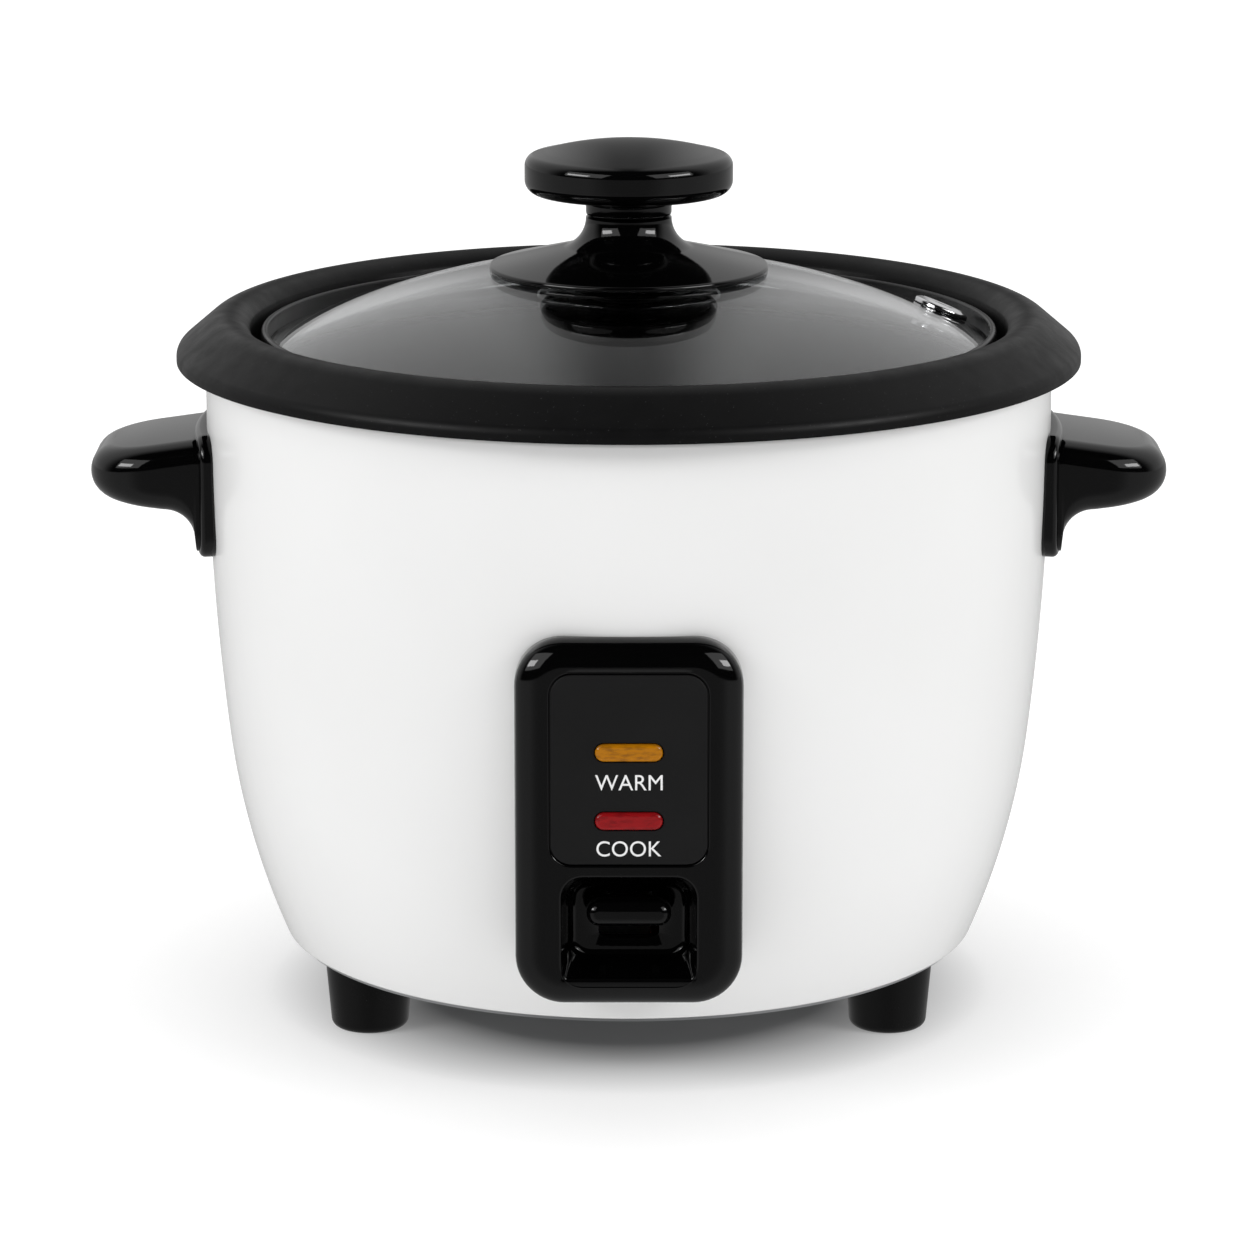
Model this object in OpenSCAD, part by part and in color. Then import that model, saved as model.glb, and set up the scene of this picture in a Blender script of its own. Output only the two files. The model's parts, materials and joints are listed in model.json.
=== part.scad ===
// Small electric rice cooker with a lift-out pot and a glass lid.
// Millimetres, +Z up, origin on the floor under the centre of the pot, controls towards -Y.

/* [Body shell] */
// Radius of the shell at its upper edge
shell_r = 95; // [85:0.5:115]
// Height of the shell between its bottom edge and its top lip
body_h = 131; // [108:1:160]
// Thickness of the shell's sheet steel
shell_t = 0.8; // [0.6:0.1:1.2]
// Height of the straight band under the top lip
shell_band_h = 9.4; // [6:0.2:14]
// Outward lean of the wall just under the straight band, degrees
shell_top_lean = 0.5; // [0:0.1:1]
// Inward slope of the wall where the upper curve meets the lower one, degrees
shell_waist_slope = 6.65; // [5:0.05:9]
// Inward slope of the wall at its foot, degrees
shell_foot_slope = 22.2; // [18:0.2:28]
// Radius of the lower curve of the wall
shell_lower_curve_r = 168; // [140:1:190]
// Straight length between the lower curve and the rolled bottom edge
shell_tail = 1.8; // [1:0.1:3]
// Radius of the rolled bottom edge
shell_roll_r = 1.4; // [1.2:0.1:2]
// Corner radius at the top lip
shell_lip_round = 1.5; // [1.2:0.1:2]
// Width of the lip turned in at the top
shell_top_lip = 5; // [4:0.5:6]
// Width of the lip turned in at the bottom
shell_bottom_lip = 7; // [6:0.5:9]

/* [Feet and base] */
// Height of the feet
foot_h = 15.4; // [12:0.2:20]
// Radius of a foot at the floor
foot_bottom_r = 8.55; // [7:0.05:10]
// Radius of a foot at the base plate
foot_top_r = 9.8; // [8.8:0.1:11]
// Fillet of a foot's bottom edge
foot_fillet = 2; // [1:0.1:2.5]
// Distance from a foot's centre to the edge of the base plate
foot_inset = 10; // [9.8:0.2:16]
// Thickness of the base plate
base_t = 0.8; // [0.6:0.1:1.2]
// Gap between the edge of the base plate and the bottom edge of the shell
base_gap = 0.4; // [0.2:0.1:1]
// Number of vent slots in one ring of the base plate
vent_count = 12; // [6:1:16]
// Length of a vent slot
vent_slot_l = 14; // [8:1:18]
// Width of a vent slot
vent_slot_w = 3; // [2:0.2:4]
// Radius of the screw in each foot
foot_screw_r = 1.9; // [1.5:0.1:2.2]
// Depth of the hollow in the underside of a foot
foot_pocket_d = 8; // [5:0.5:9]
// Radius of the screws that hold the base plate
base_screw_r = 1.5; // [1.2:0.1:1.8]

/* [Liner] */
// Gap between the wall of the pot and the liner
liner_gap = 1.5; // [1:0.1:2.5]
// Thickness of the liner's sheet
liner_t = 0.8; // [0.6:0.1:1]
// How much smaller the radius of the liner's upper step is than the shell's
liner_step_inset = 5.5; // [5.2:0.1:6]
// Depth of that step below the top of the shell
liner_step_d = 3.9; // [3.7:0.1:5]
// Corner radius at the bottom of the liner
liner_corner_r = 11; // [8:0.5:12]
// Gap between the underside of the heating plate and the floor of the liner
plate_standoff = 3.2; // [3:0.1:5]

/* [Pot] */
// Gap between the shell's radius and the outside of the pot's wall
pot_inset = 16; // [15:0.5:20]
// Thickness of the pot
pot_t = 1.6; // [1.2:0.1:1.6]
// Height of the underside of the pot above the lever's strip
pot_over_lever = 15.4; // [15.2:0.1:18]
// Outer corner radius at the bottom of the pot
pot_corner_r = 15; // [10:0.5:18]
// Width of the ledge that the lid rests on
ledge_w = 7.3; // [6.8:0.1:7.3]
// Height of the ledge's top relative to the top of the shell
ledge_drop = 1.2; // [1:0.1:1.4]
// Distance from the wall around the ledge to the middle of the brim's crest
brim_crest_reach = 5.6; // [5.4:0.1:7]
// Overhang of the brim beyond the shell
brim_overhang = 6.5; // [4:0.5:8]
// Height of the brim's lower edge above the top of the shell
brim_drip_gap = 0.4; // [0.3:0.1:2]
// Height of the brim's crest above the top of the shell
brim_h = 10.8; // [10:0.1:12]
// Radius of the brim's rounded crest
brim_crest_r = 6.1; // [5:0.1:6.2]
// Radius of the brim's rounded outer edge
brim_edge_r = 3; // [2.4:0.1:4]
// Straight height of the brim's outer edge
brim_edge_h = 1.4; // [1:0.1:2]

/* [Lid] */
// Gap between the lid's band and the wall around the ledge
lid_gap = 2.2; // [1.5:0.1:2.6]
// Thickness of the band around the glass
band_t = 1.5; // [1.2:0.1:1.8]
// Height of the band
band_h = 8.8; // [7:0.1:10]
// Width of the band's foot under the glass
band_foot_w = 5; // [4:0.2:5.2]
// Thickness of the band's foot
band_foot_t = 1; // [0.8:0.1:1.4]
// Radius of the glass dome's outer surface
dome_r = 185.8; // [165:0.2:240]
// Thickness of the glass
glass_t = 3.6; // [3:0.1:4]
// Radius of the hole in the middle of the glass
glass_hole_r = 5; // [4:0.2:6]
// Distance of the middle of the steam vent from the edge of the glass
vent_inset = 7.4; // [7.2:0.2:14]
// Direction of the steam vent, degrees from +X
vent_az = 15; // [0:1:350]
// Radius of the steam vent's flange
vent_r = 6.4; // [5:0.1:7]
// Radius of the steam vent's neck through the glass
vent_neck_r = 4; // [3:0.1:4.5]
// Height of the vent above the glass
vent_proud = 1.8; // [1:0.1:2.5]
// Width of the two steam slots
vent_hole_w = 1.6; // [1:0.1:2]

/* [Knob] */
// Radius of the top disc
knob_r = 23.3; // [18:0.1:28]
// Gap between the skirt's lower edge and the glass
knob_rim_gap = 0.08; // [0.05:0.01:0.5]
// Radius of the skirt
skirt_r = 31.4; // [26:0.1:36]
// Thickness of the skirt, measured upwards
skirt_rim_t = 1.4; // [1.2:0.1:2]
// Radius of the neck at the seam
neck_r = 9.6; // [8:0.1:11]
// Radius of the curve between the neck and the skirt
flare_r = 7; // [5:0.2:8]
// Slope of the skirt, degrees
skirt_slope = 15; // [12:0.5:18]
// Height of the knob's upper piece above its seam
knob_top_h = 16.7; // [15:0.1:20]
// Thickness of the top disc at its side
knob_side_h = 3.2; // [2:0.1:5]
// Fillet of the disc's lower edge
knob_lower_fillet = 3; // [2:0.1:4]
// Fillet of the disc's upper edge
knob_upper_fillet = 2.6; // [2:0.1:4]
// Rise of the disc's domed top
knob_crown = 2.9; // [1:0.1:4]
// Radius of the knob's screw
knob_screw_r = 2.5; // [2:0.1:3]
// Radius of the washer under the glass
washer_r = 20.5; // [15:0.5:24]
// Thickness of the washer's disc
washer_t = 4.6; // [3:0.2:6]
// Height of the washer's boss between its disc and the glass
washer_boss_h = 4.4; // [4:0.2:6]
// Radius of that boss
washer_boss_r = 14; // [10:0.5:16]

/* [Handles] */
// How far the tip of a handle stands out beyond the shell's radius
handle_reach = 26; // [20:0.5:34]
// Half of the handle's depth along Y
handle_half_d = 20; // [15:0.5:24]
// Distance of the handle's top below the top of the shell, measured at the flange
handle_drop = 15.7; // [14:0.1:24]
// Thickness of the grip at the flange
grip_t = 16; // [15:0.2:18]
// How steeply the grip's top runs down towards the tip, in degrees
grip_top_slope = 8; // [0:0.5:9]
// How steeply the grip's underside runs up towards the tip, in degrees
grip_under_slope = 7; // [0:0.5:8]
// Corner radius of the grip seen from above
grip_corner_r = 14; // [10:0.5:15]
// Edge rounding of the grip's tip seen from the side
grip_edge_r = 5; // [3:0.2:5]
// Radius of the curve under the grip where it runs into the flange
gusset_r = 7; // [5:0.5:9]
// Thickness of the flange that hugs the shell
flange_t = 2.8; // [2:0.1:4]
// How much further the flange reaches along Y on each side
flange_margin = 3.5; // [2:0.5:5]
// How much further the flange reaches above the grip
flange_lip = 1.3; // [0.5:0.1:3]
// Length of the flange below the grip's top
flange_h = 26.3; // [25:0.1:30]
// Radius of the handle screws
handle_screw_r = 2; // [1.5:0.1:2.5]
// Distance between a handle's two screws
handle_screw_pitch = 22; // [16:1:26]

/* [Control panel] */
// Width of the panel
panel_w = 48.3; // [44:0.1:54]
// Height of the panel
panel_h = 80; // [76:0.5:88]
// Height of the panel's lower edge above the bottom edge of the shell
panel_lift = 9.2; // [6:0.2:14]
// How far the panel's face stands in front of the shell's radius
panel_proud = 4.2; // [3:0.1:6]
// Corner radius of the panel
panel_corner_r = 10.5; // [8:0.5:14]
// Wall thickness of the panel
panel_wall = 2.2; // [1.8:0.1:3]
// Width of the label insert
label_w = 33; // [30:0.2:36]
// Height of the label insert
label_h = 41.2; // [38:0.2:44]
// Distance of the insert's top from the top of the panel
label_drop = 7.1; // [5:0.1:8]
// Thickness of the label insert
label_t = 0.8; // [0.6:0.1:1.2]
// Corner radius of the label insert
label_corner_r = 4.4; // [3:0.1:6]
// Gap around the label insert
label_gap = 0.25; // [0.15:0.05:0.5]
// Width of a lamp lens
lens_w = 14.3; // [12:0.1:16]
// Height of a lamp lens
lens_h = 3.8; // [3:0.1:5]
// How far a lens stands in front of the label
lens_proud = 0.5; // [0.2:0.1:0.8]
// Distance of the upper lens from the top of the panel
warm_lens_drop = 23.9; // [20:0.1:26]
// Distance between the two lenses
lens_pitch = 14.9; // [12:0.1:16]

/* [Lever] */
// Width of the recess
recess_w = 28.5; // [26:0.1:30]
// Height of the recess
recess_h = 23.7; // [22:0.1:24]
// Distance of the recess from the bottom of the panel
recess_lift = 5; // [4:0.1:6]
// Depth of the recess behind the panel's face
recess_d = 11.5; // [10.5:0.1:12.5]
// Corner radius of the recess
recess_corner_r = 4.5; // [3:0.1:6]
// Wall thickness of the recess
recess_wall = 1.5; // [1.2:0.1:2]
// Distance of the lever from the bottom of the panel, in its upper position
lever_lift = 20; // [19:0.1:21]
// Width of the lever's tab
tab_w = 17.2; // [14:0.1:20]
// Height of the lever's tab
tab_h = 5.3; // [4:0.1:6]
// Depth of the lever's tab
tab_d = 7.5; // [6:0.1:8]
// Distance of the tab's front behind the panel's face
tab_setback = 1.6; // [1:0.1:3]
// Width of the lever's strip
lever_w = 10; // [8:0.5:11]
// Thickness of the lever's strip
lever_t = 1.5; // [1.2:0.1:1.8]
// Distance of the hinge pin from the middle of the cooker
pivot_y = 38; // [36:0.5:40]
// Distance of the hinge pin below the middle of the strip
pivot_drop = 4; // [3.6:0.1:4.4]
// Radius of the hinge pin
pin_r = 2; // [1.5:0.1:2.2]
// Running clearance between the hinge pin and the lever's sleeve
pin_clear = 0.05; // [0.02:0.01:0.08]
// Radius of the lever's sleeve
sleeve_r = 4; // [3.6:0.1:4.2]
// How far the fork reaches past the rod
fork_reach = 4; // [3:0.2:4.4]
// Width of the slot between the fork's prongs
fork_slot_w = 5; // [4.8:0.1:5.6]
// Half of the space between the bracket's ears
ear_half_gap = 11.5; // [9:0.5:13]
// Thickness of the bracket
ear_t = 1.5; // [1:0.1:2]

/* [Heater] */
// Gap between the pot's flat bottom and the edge of the heating plate
plate_inset = 2; // [1:0.5:6]
// Thickness of the heating plate
plate_t = 6; // [5:0.2:7]
// Distance of the ring of the tubular element from the edge of the heating plate
element_inset = 16; // [14.5:0.5:20]
// Radius of the element's tube
element_r = 3; // [2.5:0.1:3]
// Half of the angle between the element's terminals, degrees
element_gap = 12; // [10:1:20]
// Radius of an element's terminal
terminal_r = 1.7; // [1.2:0.1:2]
// Radius of the ceramic bushing around a terminal
bushing_r = 4; // [3:0.1:4.5]
// Radius of the bosses under the heating plate
boss_r = 5; // [4:0.2:5.2]
// Radius of the heating plate's screws
plate_screw_r = 2; // [1.5:0.1:2.2]

/* [Thermostat] */
// Radius of the sensor's cap
cap_r = 19; // [17.5:0.5:20]
// Thickness of the sensor's cap
cap_t = 1.5; // [1:0.1:2]
// Outer radius of the skirt under the cap
skirt_tube_r = 13.5; // [13.2:0.1:14]
// Thickness of that skirt
skirt_tube_t = 0.8; // [0.6:0.1:1]
// Clearance around the moving parts of the thermostat
thermo_gap = 0.8; // [0.5:0.1:1]
// Thickness of the ferrite under the cap
ferrite_t = 3; // [2.4:0.1:3.2]
// Radius of the ferrite and of the magnet
magnet_r = 9; // [7:0.5:9]
// Thickness of the magnet
magnet_t = 2.6; // [2:0.1:2.7]
// Thickness of the magnet holder's flange
holder_t = 0.8; // [0.6:0.1:1]
// Radius of the magnet's rod
rod_r = 2; // [1.5:0.1:2.2]
// Sliding clearance between the rod and its guide
rod_clear = 0.08; // [0.04:0.01:0.1]
// Wire radius of the sensor's spring
sensor_wire_r = 0.5; // [0.4:0.05:0.6]
// Wire radius of the magnet's spring
magnet_wire_r = 0.35; // [0.3:0.05:0.4]

/* [Mains inlet] */
// Height of the inlet above the bottom edge of the shell
inlet_lift = 19; // [17:0.5:26]
// Width of the inlet's socket
inlet_w = 26; // [22:0.5:30]
// Height of the inlet's socket
inlet_h = 12; // [10:0.5:14]
// Depth of the inlet's socket
inlet_d = 18; // [14:0.5:20]
// Wall thickness of the inlet
inlet_wall = 2; // [1.5:0.1:2.5]
// How far the inlet's flange stands behind the shell's radius at the inlet
inlet_proud = 5; // [3.5:0.5:8]
// Width of the inlet's flange beyond its body
inlet_margin = 4; // [3:0.5:5]
// Radius of an inlet pin
inlet_pin_r = 2; // [1.5:0.1:2.5]
// Distance between the inlet's pins
inlet_pin_pitch = 14; // [12:0.5:16]

/* [Hidden] */
$fn = 96;
eps = 0.01;

// Shell: the upper curve takes whatever height the other stretches leave.
shell_bottom_z = foot_h;
shell_top_z = foot_h + body_h;
lower_curve_h = shell_lower_curve_r * (sin(shell_foot_slope) - sin(shell_waist_slope));
tail_h = shell_tail * cos(shell_foot_slope);
roll_h = shell_roll_r * (1 - sin(shell_foot_slope));
upper_curve_h = body_h - shell_band_h - lower_curve_h - tail_h - roll_h;
upper_curve_r = upper_curve_h / (sin(shell_waist_slope) + sin(shell_top_lean));
upper_centre = [
    shell_r - upper_curve_r * cos(shell_top_lean),
    shell_top_z - shell_band_h - upper_curve_r * sin(shell_top_lean)
];
waist = upper_centre + upper_curve_r * outward(shell_waist_slope);
lower_centre = waist - shell_lower_curve_r * outward(shell_waist_slope);
tail_end = lower_centre + shell_lower_curve_r * outward(shell_foot_slope)
    + shell_tail * [-sin(shell_foot_slope), -cos(shell_foot_slope)];
roll_centre = tail_end - shell_roll_r * outward(shell_foot_slope);
bottom_edge_r = roll_centre[0];
bottom_lip_r = bottom_edge_r - shell_bottom_lip;
shell_path = concat(
    [[shell_r - shell_top_lip, shell_top_z]],
    arc([shell_r - shell_lip_round, shell_top_z - shell_lip_round], shell_lip_round, 90, 0, 4),
    arc(upper_centre, upper_curve_r, shell_top_lean, -shell_waist_slope, 10),
    arc(lower_centre, shell_lower_curve_r, -shell_waist_slope, -shell_foot_slope, 10),
    arc(roll_centre, shell_roll_r, -shell_foot_slope, -90, 5),
    [[bottom_lip_r, shell_bottom_z]]
);

// Base plate and feet
base_r = bottom_edge_r - base_gap;
base_top_z = shell_bottom_z;
vent_slot_start_r = base_r / 3;
foot_top_z = base_top_z - base_t;
foot_circle_r = base_r - foot_inset;
foot_az = [210, 330, 90];
base_screw_az = [40, 140, 185, 355];
base_screw_circle_r = (bottom_lip_r + bottom_edge_r) / 2;
screw_head_ratio = 1.9;
screw_head_t = 1.2;

// Levels that the controls set
panel_low_z = shell_bottom_z + panel_lift;
lever_z = panel_low_z + lever_lift;
plate_top_z = lever_z + pot_over_lever;

// Pot and liner
pot_r = shell_r - pot_inset;
liner_r = pot_r + liner_gap;
liner_step_r = shell_r - liner_step_inset;
liner_flange_r = shell_r - 1.6;
liner_flange_z = shell_top_z - shell_t;
liner_step_z = shell_top_z - liner_step_d;
plate_bottom_z = plate_top_z - plate_t;
liner_floor_z = plate_bottom_z - plate_standoff;
liner_under_z = liner_floor_z - liner_t;
liner_hole_r = skirt_tube_r + thermo_gap;
pot_flat_r = pot_r - pot_corner_r;
plate_r = pot_flat_r - plate_inset;
plate_hole_r = cap_r + thermo_gap;
ledge_z = shell_top_z - ledge_drop;
ledge_out_r = pot_r - pot_t + ledge_w;
brim_r = shell_r + brim_overhang;
brim_low_z = shell_top_z + brim_drip_gap;
brim_edge_centre = [brim_r - brim_edge_r, brim_low_z + brim_edge_h];
crest_centre = [ledge_out_r + brim_crest_reach, shell_top_z + brim_h - brim_crest_r];
crest_start = 150;
crest_to_edge = brim_edge_centre - crest_centre;
brim_tangent = atan2(crest_to_edge[1], crest_to_edge[0])
    + acos((brim_crest_r - brim_edge_r) / norm(crest_to_edge));

// Lid: the dome is placed by the seat of the glass on the band's foot.
band_r = ledge_out_r - lid_gap;
glass_r = band_r - band_t;
glass_seat_z = ledge_z + band_foot_t;
dome_inner_r = dome_r - glass_t;
dome_z = glass_seat_z - sqrt(pow(dome_inner_r, 2) - pow(glass_r, 2));
dome_apex_z = dome_z + dome_r;
vent_tilt = asin((glass_r - vent_inset) / dome_r);

// Knob
rim_z = dome_z + sqrt(pow(dome_r, 2) - pow(skirt_r, 2)) + knob_rim_gap;
flare_end_r = neck_r + flare_r * (1 - cos(90 - skirt_slope));
rim_top_z = rim_z + skirt_rim_t;
flare_end_z = rim_top_z + (skirt_r - flare_end_r) * tan(skirt_slope);
seam_z = flare_end_z + flare_r * sin(90 - skirt_slope);
knob_top_z = seam_z + knob_top_h;
knob_side_top_z = knob_top_z - knob_crown - knob_upper_fillet;
knob_side_low_z = knob_side_top_z - knob_side_h;
crown_r = knob_r - knob_upper_fillet;
crown_sphere_r = (pow(crown_r, 2) + pow(knob_crown, 2)) / (2 * knob_crown);
skirt_flat_z = skirt_under(flare_end_r);
gasket_r = 24;
washer_top_z = dome_z + sqrt(pow(dome_inner_r, 2) - pow(washer_boss_r, 2));
washer_disc_z = washer_top_z - washer_boss_h;
knob_screw_top_z = seam_z + 8;

// Handles
handle_tip_x = shell_r + handle_reach;
grip_top_z = shell_top_z - handle_drop;
grip_low_z = grip_top_z - grip_t;
flange_top_z = grip_top_z + flange_lip;
flange_low_z = grip_top_z - flange_h;
flange_half_d = handle_half_d + flange_margin;
handle_screw_z = grip_top_z - grip_t / 2;
handle_screw_l = 12;
handle_screw_head_r = handle_screw_r * screw_head_ratio;
handle_screw_x = sqrt(pow(shell_r - shell_t, 2)
    - pow(handle_screw_pitch / 2 + handle_screw_head_r, 2)) - 0.3;

// Control panel, lamps and lever
panel_y = -(shell_r + panel_proud);
panel_top_z = panel_low_z + panel_h;
panel_mid_z = (panel_low_z + panel_top_z) / 2;
window_w = recess_w + 2 * recess_wall + 1;
window_low_z = panel_low_z + 3;
window_top_z = panel_top_z - 9;
label_mid_z = panel_top_z - label_drop - label_h / 2;
warm_lens_z = panel_top_z - warm_lens_drop;
cook_lens_z = warm_lens_z - lens_pitch;
lens_flange = 1;
board_t = 1.6;
board_w = 28;
board_y = panel_y + 12;
board_low_z = cook_lens_z - 7;
board_top_z = warm_lens_z + 9;
lamp_r = 2.6;
post_r = 2.4;
post_x = 11;
recess_low_z = panel_low_z + recess_lift;
recess_mid_z = recess_low_z + recess_h / 2;
pivot_z = lever_z - pivot_drop;
tab_front_y = panel_y + tab_setback;
strip_front_y = tab_front_y + 3;
slot_top_z = lever_z + 3;
slot_low_z = lever_z - 10;
slot_w = lever_w + 3;
ear_low_z = pivot_z - 9.6;
switch_w = 2 * ear_half_gap;
switch_d = 12;
switch_y = -pivot_y - 18;
switch_top_z = lever_z - 4.4;
switch_h = 8;
plunger_r = 1.5;
plunger_gap = 0.4;
plunger_top_z = lever_z - lever_t / 2 - plunger_gap;
plunger_depth = 5;
bracket_front_y = switch_y - switch_d / 2 - 2;
bracket_rear_y = -pivot_y + 8;

// Heater and thermostat
element_ring_r = plate_r - element_inset;
boss_circle_r = plate_r - boss_r - 0.5;
boss_az = [90, 210, 330];
element_overrun = 3;
terminal_low_z = liner_under_z - 8;
bushing_low_z = liner_under_z - 2.5;
cap_under_z = plate_top_z - cap_t;
skirt_low_z = liner_under_z - 3.5;
clip_travel = 1.8;
clip_t = 1;
clip_z = liner_under_z - clip_travel - clip_t;
clip_r = skirt_tube_r + 3;
clip_gap = 32;
holder_r = skirt_tube_r - skirt_tube_t - 0.7;
holder_low_z = lever_z + lever_t / 2 + 0.55;
holder_top_z = holder_low_z + holder_t;
rod_low_z = lever_z - 19.6;
nut_z = rod_low_z + 1;
nut_t = 2;
nut_r = 4;
guide_t = 1.2;
guide_z = lever_z - 9.6;
guide_half_w = 24;
guide_d = 14;
guide_foot = 7;
sensor_coil_r = skirt_tube_r + 2.6;
magnet_coil_r = (magnet_r + holder_r) / 2 + 0.2;

// Mains inlet and wiring
inlet_z = shell_bottom_z + inlet_lift;
inlet_y = shell_wall_r(inlet_z) + inlet_proud;
inlet_body_w = inlet_w + 2 * inlet_wall;
inlet_body_h = inlet_h + 2 * inlet_wall;
inlet_back_y = inlet_y - inlet_d - inlet_wall;
inlet_tail_y = inlet_back_y - 6;
inlet_floor_t = inlet_wall;
block_w = 28;
block_d = 16;
block_h = 12;
block_y = element_ring_r * cos(element_gap);
block_top_z = base_top_z + block_h;
wire_r = 1.2;

// Unit vector that points away from a wall leaning in by the angle a
function outward(a) = [cos(a), -sin(a)];

// Points on an arc
function arc(c, r, a0, a1, steps) =
    [for (i = [0:steps]) let (a = a0 + (a1 - a0) * i / steps) c + r * [cos(a), sin(a)]];

// Radius of the shell's wall at a height between its waist and its tail
function shell_wall_r(z) =
    lower_centre[0] + sqrt(pow(shell_lower_curve_r, 2) - pow(z - lower_centre[1], 2));

// Height of the underside of the knob's skirt at a radius
function skirt_under(r) = rim_z + (skirt_r - r) * tan(skirt_slope);

function left_normal(d) = [-d[1], d[0]] / norm(d);

// Corner i of path p moved sideways by t, to the left of the path's direction
function mitred(p, i, t) =
    let (last = len(p) - 1)
    let (before = left_normal(i == 0 ? p[1] - p[0] : p[i] - p[i - 1]))
    let (after = left_normal(i == last ? p[i] - p[i - 1] : p[i + 1] - p[i]))
    let (m = before + after)
    p[i] + m * t / (m * before);

// Closed outline of a sheet of thickness t that follows path p
function sheet(p, t) = concat(p, [for (i = [len(p) - 1:-1:0]) mitred(p, i, t)]);

module lathe(points) {
    rotate_extrude() polygon(points);
}

// Solid of revolution that fills the shell, for everything that hugs its wall
module shell_solid() {
    lathe(concat([[0, shell_top_z]], shell_path, [[0, shell_bottom_z]]));
}

// Rounded rectangle in the XZ plane, from y0 to y1
module face_block(w, h, r, y0, y1, z) {
    translate([0, y1, z]) rotate([90, 0, 0]) linear_extrude(y1 - y0) rounded_2d(w, h, r);
}

// Rectangle with corners of radius r, which becomes a pill where r is half of its height
module rounded_2d(w, h, r) {
    side = h - 2 * r;
    square([w - 2 * r, h], center = true);
    if (side > eps) {
        square([w, side], center = true);
        for (x = [-1, 1]) for (y = [-1, 1])
            translate([x * (w / 2 - r), y * side / 2]) circle(r);
    } else {
        for (x = [-1, 1]) translate([x * (w / 2 - r), 0]) circle(r);
    }
}

// Cylinder along +Y from y0 to y1
module rod_y(r, x, z, y0, y1) {
    translate([x, y0, z]) rotate([-90, 0, 0]) cylinder(h = y1 - y0, r = r);
}

// Cylinder along +Z from z0 to z1
module rod_z(r, x, y, z0, z1) {
    translate([x, y, z0]) cylinder(h = z1 - z0, r = r);
}

// Screw along +Z with its head below z
module screw_up(r, x, y, z, length) {
    rod_z(r, x, y, z, z + length);
    rod_z(r * screw_head_ratio, x, y, z - screw_head_t, z);
}

module outer_shell() {
    color("white") difference() {
        lathe(sheet(shell_path, -shell_t));
        translate([-window_w / 2, panel_y, window_low_z])
            cube([window_w, shell_r / 2, window_top_z - window_low_z]);
        translate([-inlet_body_w / 2, shell_r / 2, inlet_z - inlet_body_h / 2])
            cube([inlet_body_w, shell_r, inlet_body_h]);
        for (side = [-1, 1]) handle_screw_rods(side, handle_screw_r);
        for (a = base_screw_az) rotate(a)
            rod_z(base_screw_r, base_screw_circle_r, 0, shell_bottom_z - 1, shell_bottom_z + 2);
    }
}

module base_plate() {
    color("dimgray") difference() {
        rod_z(base_r, 0, 0, foot_top_z, base_top_z);
        for (i = [0:vent_count - 1]) rotate((i + 0.5) * 360 / vent_count)
            translate([vent_slot_start_r, -vent_slot_w / 2, foot_top_z - 1])
                cube([vent_slot_l, vent_slot_w, base_t + 2]);
        for (a = foot_az) rotate(a)
            rod_z(foot_screw_r, foot_circle_r, 0, foot_top_z - 1, base_top_z + 1);
        for (a = base_screw_az) rotate(a)
            rod_z(base_screw_r, base_screw_circle_r, 0, foot_top_z - 1, base_top_z + 1);
    }
}

module base_screws() {
    color("silver") for (a = base_screw_az) rotate(a)
        screw_up(base_screw_r, base_screw_circle_r, 0, foot_top_z, base_t + shell_t + 3);
}

// One foot, a tapered post with a hollow underside for its screw
module foot(az) {
    color("black") rotate(az) translate([foot_circle_r, 0, 0]) difference() {
        lathe(concat(
            [[0, 0]],
            arc([foot_bottom_r - foot_fillet, foot_fillet], foot_fillet, -90, 0, 5),
            [[foot_top_r, foot_top_z], [0, foot_top_z]]
        ));
        rod_z(foot_screw_r * screw_head_ratio + 1, 0, 0, -1, foot_pocket_d);
        rod_z(foot_screw_r, 0, 0, 0, foot_top_z + 1);
    }
}

module foot_front_left() {
    foot(foot_az[0]);
}

module foot_front_right() {
    foot(foot_az[1]);
}

module foot_rear() {
    foot(foot_az[2]);
}

module foot_screws() {
    color("silver") for (a = foot_az) rotate(a)
        screw_up(foot_screw_r, foot_circle_r, 0, foot_pocket_d, base_top_z - foot_pocket_d + 3);
}

// The two screws of one handle, through the shell into the grip
module handle_screw_rods(side, r) {
    for (y = [-1, 1])
        translate([side * handle_screw_x, y * handle_screw_pitch / 2, handle_screw_z])
            rotate([0, side * 90, 0]) cylinder(h = handle_screw_l, r = r);
}

module handle(side) {
    color("black") difference() {
        union() {
            intersection() {
                translate([0, 0, grip_low_z - flange_h]) linear_extrude(2 * flange_h + grip_t)
                    grip_plan(side);
                rotate([90, 0, 0]) linear_extrude(2 * handle_half_d, center = true)
                    mirror([side < 0 ? 1 : 0, 0]) grip_side();
            }
            intersection() {
                rod_z(shell_r + flange_t, 0, 0, flange_low_z, flange_top_z);
                translate([side > 0 ? 0 : -2 * shell_r, -flange_half_d, flange_low_z])
                    cube([2 * shell_r, 2 * flange_half_d, flange_h + flange_lip]);
            }
        }
        shell_solid();
        handle_screw_rods(side, handle_screw_r);
    }
}

// Outline of a grip seen from above
module grip_plan(side) {
    straight = handle_tip_x - grip_corner_r;
    translate([side > 0 ? 0 : -straight, -handle_half_d]) square([straight, 2 * handle_half_d]);
    for (y = [-1, 1])
        translate([side * straight, y * (handle_half_d - grip_corner_r)]) circle(grip_corner_r);
    translate([side > 0 ? 0 : -handle_tip_x, grip_corner_r - handle_half_d])
        square([handle_tip_x, 2 * (handle_half_d - grip_corner_r)]);
}

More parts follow.
